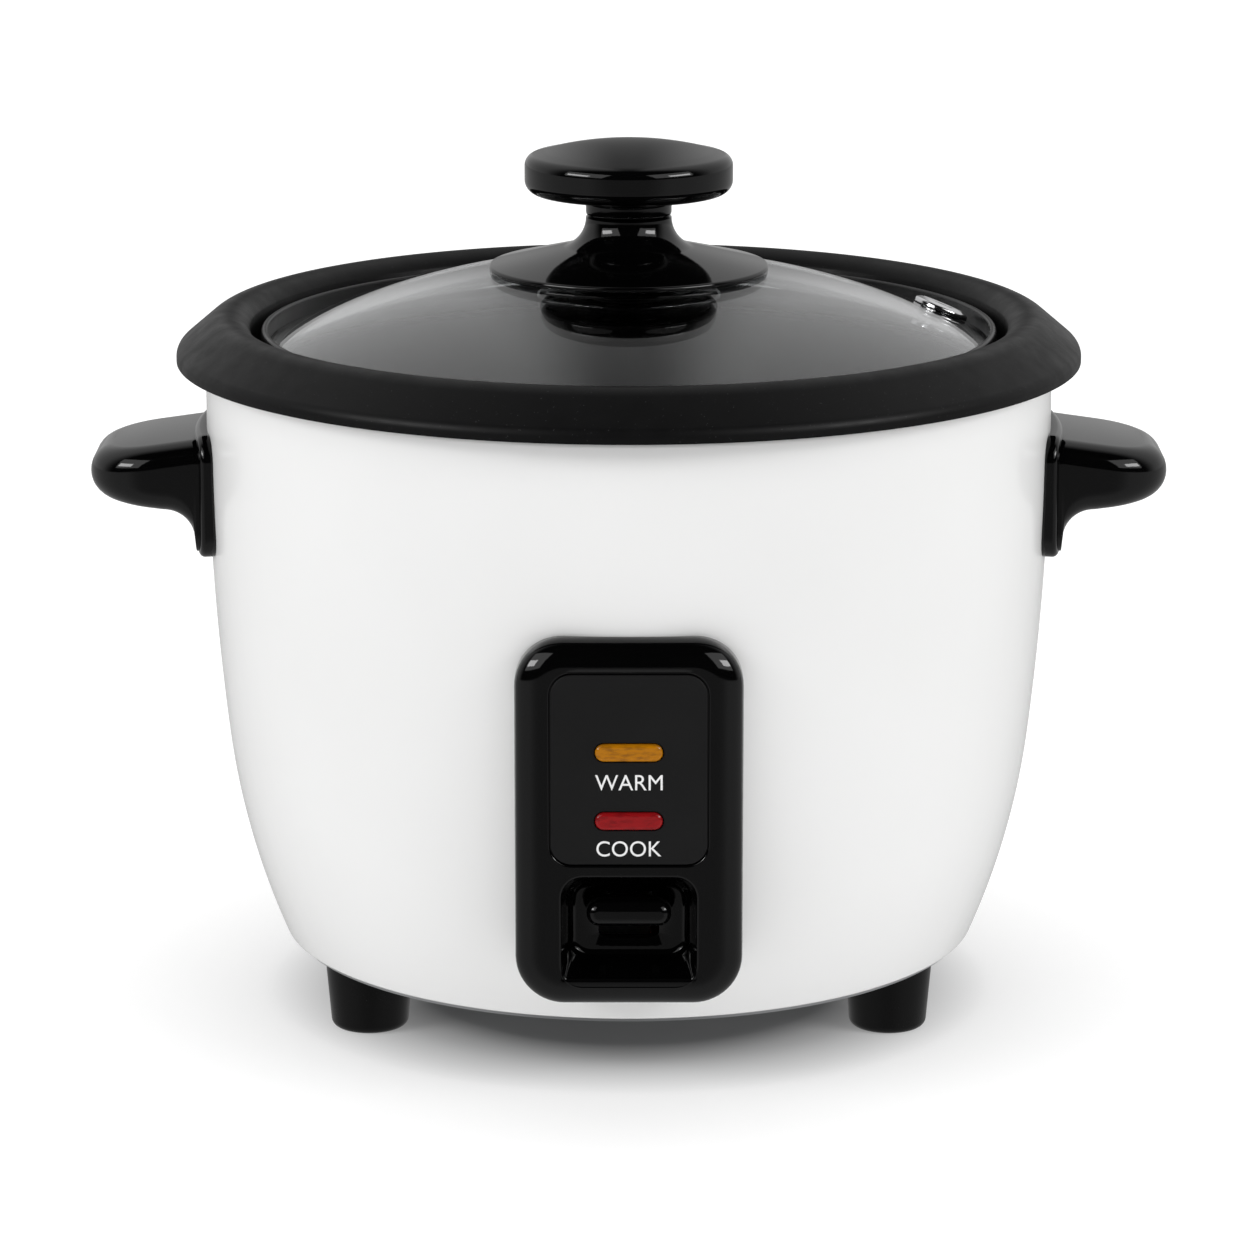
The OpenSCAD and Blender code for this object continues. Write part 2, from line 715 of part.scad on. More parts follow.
// Outline of the right grip seen from the front: it narrows to a round tip, with a curved gusset below
module grip_side() {
    gusset_x = shell_r + flange_t - 0.8;
    tip_x = handle_tip_x - grip_edge_r;
    tip_top_z = grip_top_z - (tip_x - gusset_x) * tan(grip_top_slope) - grip_edge_r / cos(grip_top_slope);
    tip_low_z = grip_low_z + (tip_x - gusset_x - gusset_r) * tan(grip_under_slope)
        + grip_edge_r / cos(grip_under_slope);
    polygon(concat(
        [[shell_r / 2, grip_top_z], [gusset_x, grip_top_z]],
        arc([tip_x, tip_top_z], grip_edge_r, 90 - grip_top_slope, 0, 6),
        arc([tip_x, tip_low_z], grip_edge_r, 0, grip_under_slope - 90, 6),
        arc([gusset_x + gusset_r, grip_low_z - gusset_r], gusset_r, 90, 180, 6),
        [[gusset_x, flange_low_z], [shell_r / 2, flange_low_z]]
    ));
}

module handle_left() {
    handle(-1);
}

module handle_right() {
    handle(1);
}

module handle_screws() {
    color("silver") for (side = [-1, 1]) {
        handle_screw_rods(side, handle_screw_r);
        for (y = [-1, 1])
            translate([side * handle_screw_x, y * handle_screw_pitch / 2, handle_screw_z])
                rotate([0, -side * 90, 0]) cylinder(h = screw_head_t, r = handle_screw_head_r);
    }
}

module inner_liner() {
    liner_path = concat(
        [[liner_flange_r, liner_flange_z], [liner_step_r, liner_flange_z]],
        [[liner_step_r, liner_step_z], [liner_r, liner_step_z]],
        arc([liner_r - liner_corner_r, liner_floor_z + liner_corner_r], liner_corner_r, 0, -90, 8),
        [[liner_hole_r, liner_floor_z]]
    );
    color("silver") difference() {
        lathe(sheet(liner_path, liner_t));
        for (a = boss_az) rotate(a)
            rod_z(plate_screw_r, boss_circle_r, 0, liner_under_z - 1, liner_floor_z + 1);
        for (side = [-1, 1]) rotate(90 + side * element_gap)
            rod_z(bushing_r, element_ring_r, 0, liner_under_z - 1, liner_floor_z + 1);
    }
}

module heating_plate() {
    color("lightgray") difference() {
        union() {
            rod_z(plate_r, 0, 0, plate_bottom_z, plate_top_z);
            for (a = boss_az) rotate(a) rod_z(boss_r, boss_circle_r, 0, liner_floor_z, plate_top_z - 1);
        }
        rod_z(plate_hole_r, 0, 0, liner_floor_z, plate_top_z + 1);
        difference() {
            rod_z(element_ring_r + element_r, 0, 0, liner_floor_z, plate_bottom_z + element_r);
            rod_z(element_ring_r - element_r, 0, 0, liner_floor_z - 1, plate_top_z);
        }
        for (a = boss_az) rotate(a)
            rod_z(plate_screw_r, boss_circle_r, 0, liner_floor_z - 1, plate_top_z - 2);
    }
}

// Tubular element: an open ring half sunk in the plate's groove, with a terminal near each end
module heater_element() {
    ring_start = element_gap - element_overrun;
    color("gray") {
        rotate(90 + ring_start) rotate_extrude(angle = 360 - 2 * ring_start)
            translate([element_ring_r, plate_bottom_z]) circle(element_r, $fn = 32);
        for (side = [-1, 1]) rotate(90 + side * element_gap)
            rod_z(terminal_r, element_ring_r, 0, terminal_low_z, plate_bottom_z);
    }
}

module heater_bushings() {
    color("ivory") for (side = [-1, 1]) rotate(90 + side * element_gap)
        translate([element_ring_r, 0, 0]) difference() {
            rod_z(bushing_r, 0, 0, bushing_low_z, liner_floor_z);
            rod_z(terminal_r, 0, 0, bushing_low_z - 1, liner_floor_z + 1);
        }
}

module plate_screws() {
    color("silver") for (a = boss_az) rotate(a)
        screw_up(plate_screw_r, boss_circle_r, 0, liner_under_z, liner_t + plate_standoff + 2);
}

module control_panel() {
    inner_w = panel_w - 2 * panel_wall;
    inner_h = panel_h - 2 * panel_wall;
    color("black") difference() {
        union() {
            difference() {
                face_block(panel_w, panel_h, panel_corner_r, panel_y, -shell_r / 2, panel_mid_z);
                face_block(inner_w, inner_h, panel_corner_r - panel_wall,
                    panel_y + panel_wall, 0, panel_mid_z);
                shell_solid();
            }
            face_block(recess_w + 2 * recess_wall, recess_h + 2 * recess_wall,
                recess_corner_r + recess_wall, panel_y + panel_wall,
                panel_y + recess_d + recess_wall, recess_mid_z);
            for (x = [-1, 1]) for (z = [board_low_z + 3.5, board_top_z - 3.5])
                rod_y(post_r, x * post_x, z, panel_y + panel_wall, board_y);
        }
        face_block(recess_w, recess_h, recess_corner_r, panel_y - 1, panel_y + recess_d,
            recess_mid_z);
        face_block(label_w + 2 * label_gap, label_h + 2 * label_gap, label_corner_r + label_gap,
            panel_y - 1, panel_y + label_t, label_mid_z);
        for (z = [warm_lens_z, cook_lens_z])
            face_block(lens_w + 2 * lens_flange, lens_h + 2 * lens_flange,
                lens_h / 2 + lens_flange, panel_y - 1, panel_y + panel_wall + 1, z);
        translate([-slot_w / 2, panel_y + recess_d - 1, slot_low_z])
            cube([slot_w, recess_wall + 2, slot_top_z - slot_low_z]);
        for (x = [-1, 1]) for (z = [board_low_z + 3.5, board_top_z - 3.5])
            rod_y(1, x * post_x, z, board_y - 5, board_y + 1);
    }
}

module label_insert() {
    color([0.12, 0.12, 0.12]) difference() {
        face_block(label_w, label_h, label_corner_r, panel_y, panel_y + label_t, label_mid_z);
        for (z = [warm_lens_z, cook_lens_z])
            face_block(lens_w, lens_h, lens_h / 2, panel_y - 1, panel_y + label_t + 1, z);
    }
}

// A lens: a pill that passes through the label, on a wider flange behind it
module lens(z) {
    face_block(lens_w, lens_h, lens_h / 2, panel_y - lens_proud, panel_y + label_t, z);
    face_block(lens_w + 2 * lens_flange, lens_h + 2 * lens_flange, lens_h / 2 + lens_flange,
        panel_y + label_t, panel_y + panel_wall + 1, z);
}

module warm_lens() {
    color("orange") lens(warm_lens_z);
}

module cook_lens() {
    color("firebrick") lens(cook_lens_z);
}

module lamp_board() {
    color("darkgreen") difference() {
        translate([-board_w / 2, board_y, board_low_z])
            cube([board_w, board_t, board_top_z - board_low_z]);
        for (x = [-1, 1]) for (z = [board_low_z + 3.5, board_top_z - 3.5])
            rod_y(1, x * post_x, z, board_y - 1, board_y + board_t + 1);
    }
}

module indicator_lamps() {
    color("lightyellow") for (z = [warm_lens_z, cook_lens_z])
        rod_y(lamp_r, 0, z, panel_y + panel_wall + 1.5, board_y);
}

module panel_screws() {
    color("silver") for (x = [-1, 1]) for (z = [board_low_z + 3.5, board_top_z - 3.5]) {
        rod_y(1, x * post_x, z, board_y - 5, board_y + board_t);
        rod_y(screw_head_ratio, x * post_x, z, board_y + board_t, board_y + board_t + 1);
    }
}

// Channel under the liner's floor: a top plate and two ears that hold the hinge pin
module lever_bracket() {
    span = bracket_rear_y - bracket_front_y;
    outer_w = 2 * (ear_half_gap + ear_t);
    color("silver") difference() {
        union() {
            translate([-outer_w / 2, bracket_front_y, liner_under_z - ear_t])
                cube([outer_w, span, ear_t]);
            for (x = [-ear_half_gap - ear_t, ear_half_gap])
                translate([x, bracket_front_y, ear_low_z]) cube([ear_t, span, liner_under_z - ear_low_z]);
        }
        translate([-outer_w / 2 - 1, -pivot_y, pivot_z]) rotate([0, 90, 0])
            cylinder(h = outer_w + 2, r = pin_r);
    }
}

module lever_pin() {
    pin_l = 2 * (ear_half_gap + ear_t) + 2;
    color("gray") translate([-pin_l / 2, -pivot_y, pivot_z]) rotate([0, 90, 0])
        cylinder(h = pin_l, r = pin_r);
}

module micro_switch() {
    color("black") difference() {
        translate([-switch_w / 2, switch_y - switch_d / 2, switch_top_z - switch_h])
            cube([switch_w, switch_d, switch_h]);
        rod_z(plunger_r + rod_clear, 0, switch_y, switch_top_z - plunger_depth - 3, switch_top_z + 1);
    }
}

// U-shaped strap that guides the lower end of the magnet's rod
module rod_guide() {
    leg_h = liner_under_z - guide_z;
    color("silver") difference() {
        union() {
            translate([-guide_half_w, -guide_d / 2, guide_z]) cube([2 * guide_half_w, guide_d, guide_t]);
            for (side = [-1, 1]) {
                translate([side * (guide_half_w - guide_t / 2) - guide_t / 2, -guide_d / 2, guide_z])
                    cube([guide_t, guide_d, leg_h]);
                translate([side * (guide_half_w + guide_foot / 2) - guide_foot / 2, -guide_d / 2,
                    liner_under_z - guide_t]) cube([guide_foot, guide_d, guide_t]);
            }
        }
        rod_z(rod_r + rod_clear, 0, 0, guide_z - 1, guide_z + guide_t + 1);
    }
}

module thermal_fuse() {
    fuse_r = 2.6;
    color("lightgray") translate([18, 26, liner_under_z - fuse_r]) {
        rotate([0, 90, 0]) cylinder(h = 18, r = fuse_r);
    }
}

module terminal_block() {
    color("whitesmoke") translate([-block_w / 2, block_y - block_d / 2, base_top_z])
        cube([block_w, block_d, block_h]);
}

// Wires from the inlet and the heater down to the block, and from the block to the switch
module wiring() {
    inlet_x = inlet_pin_pitch / 2;
    inlet_bend_y = block_y + block_d / 2 - 3;
    floor_z = base_top_z + 7;
    switch_x = 6;
    color("darkred") {
        for (x = [-inlet_x, inlet_x]) {
            rod_y(wire_r, x, inlet_z, inlet_bend_y, inlet_tail_y);
            translate([x, inlet_bend_y, inlet_z]) sphere(wire_r);
            rod_z(wire_r, x, inlet_bend_y, block_top_z, inlet_z);
        }
        rod_y(wire_r, switch_x, floor_z, switch_y, block_y - block_d / 2);
        translate([switch_x, switch_y, floor_z]) sphere(wire_r);
        rod_z(wire_r, switch_x, switch_y, floor_z, switch_top_z - switch_h);
        for (side = [-1, 1]) rotate(90 + side * element_gap)
            rod_z(wire_r, element_ring_r, 0, block_top_z, terminal_low_z);
    }
}

module power_inlet() {
    color("black") difference() {
        union() {
            translate([-inlet_body_w / 2, inlet_back_y - inlet_floor_t, inlet_z - inlet_body_h / 2])
                cube([inlet_body_w, inlet_y - inlet_back_y + inlet_floor_t, inlet_body_h]);
            difference() {
                face_block(inlet_body_w + 2 * inlet_margin, inlet_body_h + 2 * inlet_margin,
                    inlet_margin, shell_r / 2, inlet_y, inlet_z);
                shell_solid();
            }
        }
        face_block(inlet_w, inlet_h, inlet_h / 3, inlet_back_y, inlet_y + 1, inlet_z);
        for (x = [-0.5, 0.5])
            rod_y(inlet_pin_r, x * inlet_pin_pitch, inlet_z, inlet_back_y - inlet_floor_t - 1, inlet_y);
    }
}

module inlet_pins() {
    color("silver") for (x = [-0.5, 0.5])
        rod_y(inlet_pin_r, x * inlet_pin_pitch, inlet_z, inlet_tail_y, inlet_y - 4);
}

// Steel strip from the tab to the fork, with the hinge sleeve under it
module switch_lever() {
    color("silver") difference() {
        union() {
            translate([-lever_w / 2, strip_front_y, lever_z - lever_t / 2])
                cube([lever_w, fork_reach - strip_front_y, lever_t]);
            translate([-lever_w / 2, -pivot_y, pivot_z]) rotate([0, 90, 0])
                cylinder(h = lever_w, r = sleeve_r);
        }
        translate([-lever_w, -pivot_y, pivot_z]) rotate([0, 90, 0])
            cylinder(h = 2 * lever_w, r = pin_r + pin_clear);
        translate([-fork_slot_w / 2, -fork_reach, lever_z - lever_t])
            cube([fork_slot_w, 2 * fork_reach + 1, 2 * lever_t]);
    }
}

module lever_tab() {
    color("black") difference() {
        face_block(tab_w, tab_h, tab_h / 2, tab_front_y, tab_front_y + tab_d, lever_z);
        translate([-lever_w / 2, strip_front_y, lever_z - lever_t / 2])
            cube([lever_w, tab_d, lever_t]);
    }
}

module switch_plunger() {
    color("white") rod_z(plunger_r, 0, switch_y, switch_top_z - plunger_depth, plunger_top_z);
}

// Hat-shaped sensor head; its skirt is notched for the lever
module sensor_cap() {
    notch_w = lever_w + 3;
    color("silver") difference() {
        union() {
            rod_z(cap_r, 0, 0, cap_under_z, plate_top_z);
            rod_z(skirt_tube_r, 0, 0, skirt_low_z, plate_top_z - cap_t / 2);
        }
        rod_z(skirt_tube_r - skirt_tube_t, 0, 0, skirt_low_z - 1, cap_under_z);
        translate([-notch_w / 2, -2 * skirt_tube_r, skirt_low_z - 1])
            cube([notch_w, 2 * skirt_tube_r, liner_floor_z - skirt_low_z + 1]);
    }
}

module sensor_ferrite() {
    color("dimgray") rod_z(magnet_r, 0, 0, cap_under_z - ferrite_t, cap_under_z);
}

// Open ring around the skirt, which stops the head from coming out
module sensor_clip() {
    color("gray") rotate(clip_gap - 90) rotate_extrude(angle = 360 - 2 * clip_gap)
        translate([skirt_tube_r, clip_z]) square([clip_r - skirt_tube_r, clip_t]);
}

// Coil spring: wire of radius w wound to radius r between z0 and z1
module coil(r, w, z0, z1, turns) {
    sides = 6;
    rings = 20 * turns;
    rise = (z1 - z0 - 2 * w) / rings;
    points = [for (i = [0:rings]) for (k = [0:sides - 1])
        let (a = i * 18, b = k * 360 / sides, q = r + w * cos(b))
        [q * cos(a), q * sin(a), z0 + w + i * rise + w * sin(b)]];
    walls = [for (i = [0:rings - 1]) for (k = [0:sides - 1]) let (n = (k + 1) % sides)
        [i * sides + k, (i + 1) * sides + k, (i + 1) * sides + n, i * sides + n]];
    first = [[for (k = [0:sides - 1]) k]];
    last = [[for (k = [sides - 1:-1:0]) rings * sides + k]];
    polyhedron(points, concat(walls, first, last));
}

module sensor_spring() {
    color("gray") coil(sensor_coil_r, sensor_wire_r, liner_floor_z, cap_under_z, 3);
}

module magnet_holder() {
    color("silver") {
        rod_z(holder_r, 0, 0, holder_low_z, holder_top_z);
        rod_z(rod_r, 0, 0, rod_low_z, holder_low_z);
    }
}

module magnet() {
    color("dimgray") rod_z(magnet_r, 0, 0, holder_top_z, holder_top_z + magnet_t);
}

module magnet_spring() {
    color("gray") coil(magnet_coil_r, magnet_wire_r, holder_top_z, cap_under_z, 4);
}

module rod_nut() {
    color("silver") difference() {
        rod_z(nut_r, 0, 0, nut_z, nut_z + nut_t);
        rod_z(rod_r, 0, 0, nut_z - 1, nut_z + nut_t + 1);
    }
}

module inner_pot() {
    corner = arc([pot_flat_r, plate_top_z + pot_corner_r], pot_corner_r - pot_t, -90, 0, 8);
    pot_path = concat(
        [[0, plate_top_z + pot_t]],
        corner,
        [[pot_r - pot_t, ledge_z], [ledge_out_r, ledge_z]],
        arc(crest_centre, brim_crest_r, crest_start, brim_tangent, 9),
        arc(brim_edge_centre, brim_edge_r, brim_tangent, 0, 6),
        [[brim_r, brim_low_z]]
    );
    color([0.1, 0.1, 0.1]) lathe(sheet(pot_path, -pot_t));
}

module glass_dome(r) {
    translate([0, 0, dome_z]) sphere(r, $fn = 180);
}

// Section of the dome's sphere, for pieces that sit on the glass
module dome_disc(r) {
    translate([0, dome_z]) circle(r, $fn = 720);
}

module at_vent(r) {
    rotate(vent_az) translate([0, 0, dome_z]) rotate([0, vent_tilt, 0]) translate([0, 0, r])
        children();
}

module lid_glass() {
    color([0.75, 0.78, 0.8, 0.5]) difference() {
        intersection() {
            glass_dome(dome_r);
            rod_z(glass_r, 0, 0, glass_seat_z - 1, dome_apex_z + 1);
        }
        glass_dome(dome_inner_r);
        rod_z(glass_hole_r, 0, 0, glass_seat_z, dome_apex_z + 1);
        at_vent(dome_inner_r - 2) cylinder(h = glass_t + 4, r = vent_neck_r);
    }
}

module lid_rim() {
    foot_r = band_r - band_foot_w;
    color("black") lathe([
        [foot_r, ledge_z], [band_r, ledge_z], [band_r, ledge_z + band_h],
        [glass_r, ledge_z + band_h], [glass_r, glass_seat_z], [foot_r, glass_seat_z]
    ]);
}

// Upper piece of the knob: a neck that opens into a domed disc
module knob_top() {
    neck_out = knob_side_low_z - knob_lower_fillet;
    color("black") difference() {
        lathe(concat(
            [[0, seam_z], [neck_r, seam_z]],
            arc([neck_r + 2.5, neck_out - 2.5], 2.5, 180, 90, 4),
            arc([knob_r - knob_lower_fillet, knob_side_low_z], knob_lower_fillet, -90, 0, 5),
            arc([knob_r - knob_upper_fillet, knob_side_top_z], knob_upper_fillet, 0, 75, 5),
            arc([0, knob_top_z - crown_sphere_r], crown_sphere_r,
                90 - asin((crown_r - 1) / crown_sphere_r), 90, 8)
        ));
        rod_z(knob_screw_r, 0, 0, seam_z - 1, knob_screw_top_z);
    }
}

// Lower piece of the knob: the neck flares into a skirt that stands on the gasket
module knob_skirt() {
    color("black") difference() {
        lathe(concat(
            [[0, seam_z]],
            arc([neck_r + flare_r, seam_z], flare_r, 180, 270 - skirt_slope, 7),
            [[skirt_r, rim_top_z], [skirt_r, rim_z]],
            [[flare_end_r, skirt_flat_z], [0, skirt_flat_z]]
        ));
        rod_z(knob_screw_r, 0, 0, rim_z - 1, seam_z + 1);
    }
}

module knob_gasket() {
    color("dimgray") difference() {
        rotate_extrude() difference() {
            polygon([
                [0, rim_z - 3], [gasket_r, rim_z - 3], [gasket_r, skirt_under(gasket_r)],
                [flare_end_r, skirt_flat_z], [0, skirt_flat_z]
            ]);
            dome_disc(dome_r);
        }
        rod_z(knob_screw_r, 0, 0, rim_z - 5, seam_z);
    }
}

module knob_washer() {
    color("black") difference() {
        union() {
            rod_z(washer_r, 0, 0, washer_disc_z - washer_t, washer_disc_z);
            rotate_extrude() intersection() {
                translate([0, washer_disc_z]) square([washer_boss_r, washer_boss_h + 2]);
                dome_disc(dome_inner_r);
            }
        }
        rod_z(knob_screw_r, 0, 0, washer_disc_z - washer_t - 1, dome_apex_z + 1);
    }
}

module knob_screw() {
    color("silver") screw_up(knob_screw_r, 0, 0, washer_disc_z - washer_t,
        knob_screw_top_z - washer_disc_z + washer_t);
}

// Metal grommet in the glass, with two steam slots through it
module steam_vent() {
    color("silver") at_vent(dome_inner_r) difference() {
        union() {
            translate([0, 0, -1]) cylinder(h = glass_t + 1 + vent_proud, r = vent_neck_r);
            translate([0, 0, glass_t]) cylinder(h = vent_proud, r = vent_r);
            translate([0, 0, -2]) cylinder(h = 1.6, r = vent_neck_r + 1.2);
        }
        for (x = [-1.6, 1.6]) translate([x - vent_hole_w / 2, -2, -3])
            cube([vent_hole_w, 4, glass_t + vent_proud + 4]);
    }
}

outer_shell();
base_plate();
base_screws();
foot_front_left();
foot_front_right();
foot_rear();
foot_screws();
handle_left();
handle_right();
handle_screws();
inner_liner();
heating_plate();
heater_element();
heater_bushings();
plate_screws();
control_panel();
label_insert();
warm_lens();
cook_lens();
lamp_board();
indicator_lamps();
panel_screws();
lever_bracket();
lever_pin();
micro_switch();
rod_guide();
thermal_fuse();
terminal_block();
wiring();
power_inlet();
inlet_pins();
switch_lever();
lever_tab();
switch_plunger();
sensor_cap();
sensor_ferrite();
sensor_clip();
sensor_spring();
magnet_holder();
magnet();
magnet_spring();
rod_nut();
inner_pot();
lid_glass();
lid_rim();
knob_top();
knob_skirt();
knob_gasket();
knob_washer();
knob_screw();
steam_vent();
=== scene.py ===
"""Looks of the rice cooker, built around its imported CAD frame."""
import json
import math

import bmesh
import bpy
from mathutils import Matrix, Vector
from mathutils.geometry import delaunay_2d_cdt


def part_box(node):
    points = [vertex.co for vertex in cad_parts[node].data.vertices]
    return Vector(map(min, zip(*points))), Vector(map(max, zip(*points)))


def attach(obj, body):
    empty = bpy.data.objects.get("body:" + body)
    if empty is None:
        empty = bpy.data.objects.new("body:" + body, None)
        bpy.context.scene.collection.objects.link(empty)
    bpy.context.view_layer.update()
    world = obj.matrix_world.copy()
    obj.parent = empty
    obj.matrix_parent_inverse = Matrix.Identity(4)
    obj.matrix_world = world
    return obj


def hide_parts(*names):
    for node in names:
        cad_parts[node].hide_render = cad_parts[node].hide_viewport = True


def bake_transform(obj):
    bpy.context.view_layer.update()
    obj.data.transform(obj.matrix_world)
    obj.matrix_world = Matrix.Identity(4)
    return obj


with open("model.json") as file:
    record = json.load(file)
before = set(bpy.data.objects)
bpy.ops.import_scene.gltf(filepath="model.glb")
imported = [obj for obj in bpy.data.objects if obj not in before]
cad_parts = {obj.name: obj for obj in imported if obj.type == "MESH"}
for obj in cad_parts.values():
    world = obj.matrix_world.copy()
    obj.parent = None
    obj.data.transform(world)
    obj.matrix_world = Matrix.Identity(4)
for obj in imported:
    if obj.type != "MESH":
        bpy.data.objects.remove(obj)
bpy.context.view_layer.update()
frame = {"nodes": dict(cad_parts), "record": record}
nodes = frame["nodes"]
MM = 0.001


def sin_deg(a):
    return math.sin(math.radians(a))


def cos_deg(a):
    return math.cos(math.radians(a))


def tan_deg(a):
    return math.tan(math.radians(a))


def acos_deg(x):
    return math.degrees(math.acos(x))


# ------------------------------------------------ sizes, mm, as in the CAD source
SHELL_R, SHELL_T = 95.0, 0.8
FOOT_H, BODY_H, BAND_H, BASE_T = 15.4, 131.0, 9.4, 0.8
TOP_LEAN, WAIST, FOOT_SLOPE = 0.5, 6.65, 22.2
LOWER_R, TAIL, ROLL_R, LIP_ROUND = 168.0, 1.8, 1.4, 1.5
TOP_LIP, BOTTOM_LIP = 5.0, 7.0
TOP_Z = FOOT_H + BODY_H
POT_R, POT_T, POT_Z, POT_CORNER = 79.0, 1.6, 60.0, 15.0
LEDGE_Z, LEDGE_R = TOP_Z - 1.2, 84.7
CREST = (LEDGE_R + 5.6, TOP_Z + 10.8 - 6.1)
CREST_R, BRIM_R, BRIM_EDGE_R = 6.1, 101.5, 3.0
BRIM_LOW_Z = TOP_Z + 0.4
BAND_R, RIM_H = LEDGE_R - 2.2, 8.8
GLASS_R, GLASS_T, DOME_R = 81.0, 3.6, 185.8
GLASS_SEAT = LEDGE_Z + 1.0
DOME_IN = DOME_R - GLASS_T
DOME_Z = GLASS_SEAT - math.sqrt(DOME_IN**2 - GLASS_R**2)
PANEL_Y, PANEL_W, PANEL_H, PANEL_MID, PANEL_R = -99.2, 48.3, 80.0, 64.6, 10.5
LABEL_W, LABEL_H, LABEL_R, LABEL_MID = 33.0, 41.2, 4.4, 76.9
LENS_W, LENS_H, WARM_Z, COOK_Z = 14.3, 3.8, 80.7, 65.8
RECESS_W, RECESS_H, RECESS_R, RECESS_D, RECESS_MID = 28.5, 23.7, 4.5, 11.5, 41.45
# The tab is wider and taller than the CAD's, which is 17.2 by 5.3
LEVER_Z, TAB_W, TAB_H, TAB_D = 44.6, 18.0, 5.5, 7.5


# ------------------------------------------------ outlines
def arc(cx, cz, r, a0, a1, n):
    """n + 1 points on an arc, angles in degrees."""
    angles = [a0 + (a1 - a0) * i / n for i in range(n + 1)]
    return [(cx + r * cos_deg(a), cz + r * sin_deg(a)) for a in angles]


def filleted(points, n=6):
    """Path through (x, z, radius) corners, each rounded to its radius."""
    out = []
    for i, (x, z, r) in enumerate(points):
        if r == 0 or i in (0, len(points) - 1):
            out.append((x, z))
            continue
        p = Vector((x, z))
        a = (Vector(points[i - 1][:2]) - p).normalized()
        b = (Vector(points[i + 1][:2]) - p).normalized()
        half = a.angle(b) / 2
        reach = r / math.tan(half)
        centre = p + (a + b).normalized() * (r / math.sin(half))
        start = math.atan2(*reversed(p + a * reach - centre))
        end = math.atan2(*reversed(p + b * reach - centre))
        turn = (end - start + math.pi) % (2 * math.pi) - math.pi
        out += [(centre.x + r * math.cos(start + turn * k / n),
                 centre.y + r * math.sin(start + turn * k / n)) for k in range(n + 1)]
    return out


def offset(path, t):
    """The path moved sideways by t, to its left, with mitred corners."""
    out = []
    for i, p in enumerate(path):
        normals = []
        for a, b in ((i - 1, i), (i, i + 1)):
            if a >= 0 and b < len(path):
                d = Vector(path[b]) - Vector(path[a])
                normals.append(Vector((-d.y, d.x)).normalized())
        m = (normals[0] + normals[-1]).normalized()
        k = t / max(m.dot(normals[0]), 0.3)
        out.append((p[0] + m.x * k, p[1] + m.y * k))
    return out


def rounded_rect(w, h, r, inset=0.0, corner=8, side=4):
    """Outline seen from the front, anticlockwise from the bottom centre, symmetric in x."""
    w, h, r = w / 2 - inset, h / 2 - inset, max(r - inset, 0.02)
    half = [((w - r) * i / side, -h) for i in range(side)]
    half += arc(w - r, r - h, r, -90, 0, corner)
    half += [(w, (r - h) + 2 * (h - r) * i / side) for i in range(1, side)]
    half += arc(w - r, h - r, r, 0, 90, corner)
    half += [((w - r) * (side - i) / side, h) for i in range(1, side + 1)]
    return half + [(-x, z) for x, z in reversed(half[1:-1])]


def round_over(top, depth, n, width=None):
    """Last n points (inset, height) of a profile that rounds an edge and ends at height top."""
    width = depth if width is None else width
    angles = [90 * i / n for i in range(1, n + 1)]
    return [(width * (1 - cos_deg(a)), top - depth + depth * sin_deg(a)) for a in angles]


def shifted(loop, dz):
    return [(x, z + dz) for x, z in loop]


# ------------------------------------------------ mesh building
def make(name, verts, faces, body, material, stands_for=(), slot=None, sharp=35.0):
    """A piece from points in mm; it rides on a body and stands for CAD nodes."""
    mesh = bpy.data.meshes.new(name)
    mesh.from_pydata([Vector(v) * MM for v in verts], [], faces)
    bm = bmesh.new()
    bm.from_mesh(mesh)
    bmesh.ops.remove_doubles(bm, verts=bm.verts, dist=1e-6)
    bmesh.ops.recalc_face_normals(bm, faces=bm.faces)
    bm.to_mesh(mesh)
    bm.free()
    ob = bpy.data.objects.new(name, mesh)
    bpy.context.scene.collection.objects.link(ob)
    mesh.shade_smooth()
    mesh.set_sharp_from_angle(angle=math.radians(sharp))
    if material is not None:
        mesh.materials.append(material)
    if body:
        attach(ob, body)
    if stands_for:
        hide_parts(*stands_for)
    return ob


def lathe_mesh(path, segments, closed=False, skip=None):
    """Path of (radius, z) turned about Z; skip(azimuth, z) tells which faces to leave out."""
    verts, faces, rings = [], [], []
    for r, z in path:
        if r < 1e-6:
            rings.append([len(verts)])
            verts.append((0, 0, z))
        else:
            rings.append(list(range(len(verts), len(verts) + segments)))
            turns = [2 * math.pi * k / segments for k in range(segments)]
            verts += [(r * math.cos(a), r * math.sin(a), z) for a in turns]
    pairs = list(zip(rings, rings[1:])) + ([(rings[-1], rings[0])] if closed else [])
    for i, (a, b) in enumerate(pairs):
        for k in range(segments):
            n = (k + 1) % segments
            if skip:
                z = (path[i][1] + path[(i + 1) % len(path)][1]) / 2
                if skip((k + 0.5) * 360 / segments, z):
                    continue
            if len(a) == 1 and len(b) == 1:
                continue
            if len(a) == 1:
                faces.append((a[0], b[n], b[k]))
            elif len(b) == 1:
                faces.append((a[k], a[n], b[0]))
            else:
                faces.append((a[k], a[n], b[n], b[k]))
    return verts, faces


def lathe(name, path, body, material, segments=192, closed=False, skip=None, at=(0, 0), **more):
    verts, faces = lathe_mesh(path, segments, closed, skip)
    moved = [(x + at[0], y + at[1], z) for x, y, z in verts]
    return make(name, moved, faces, body, material, **more)


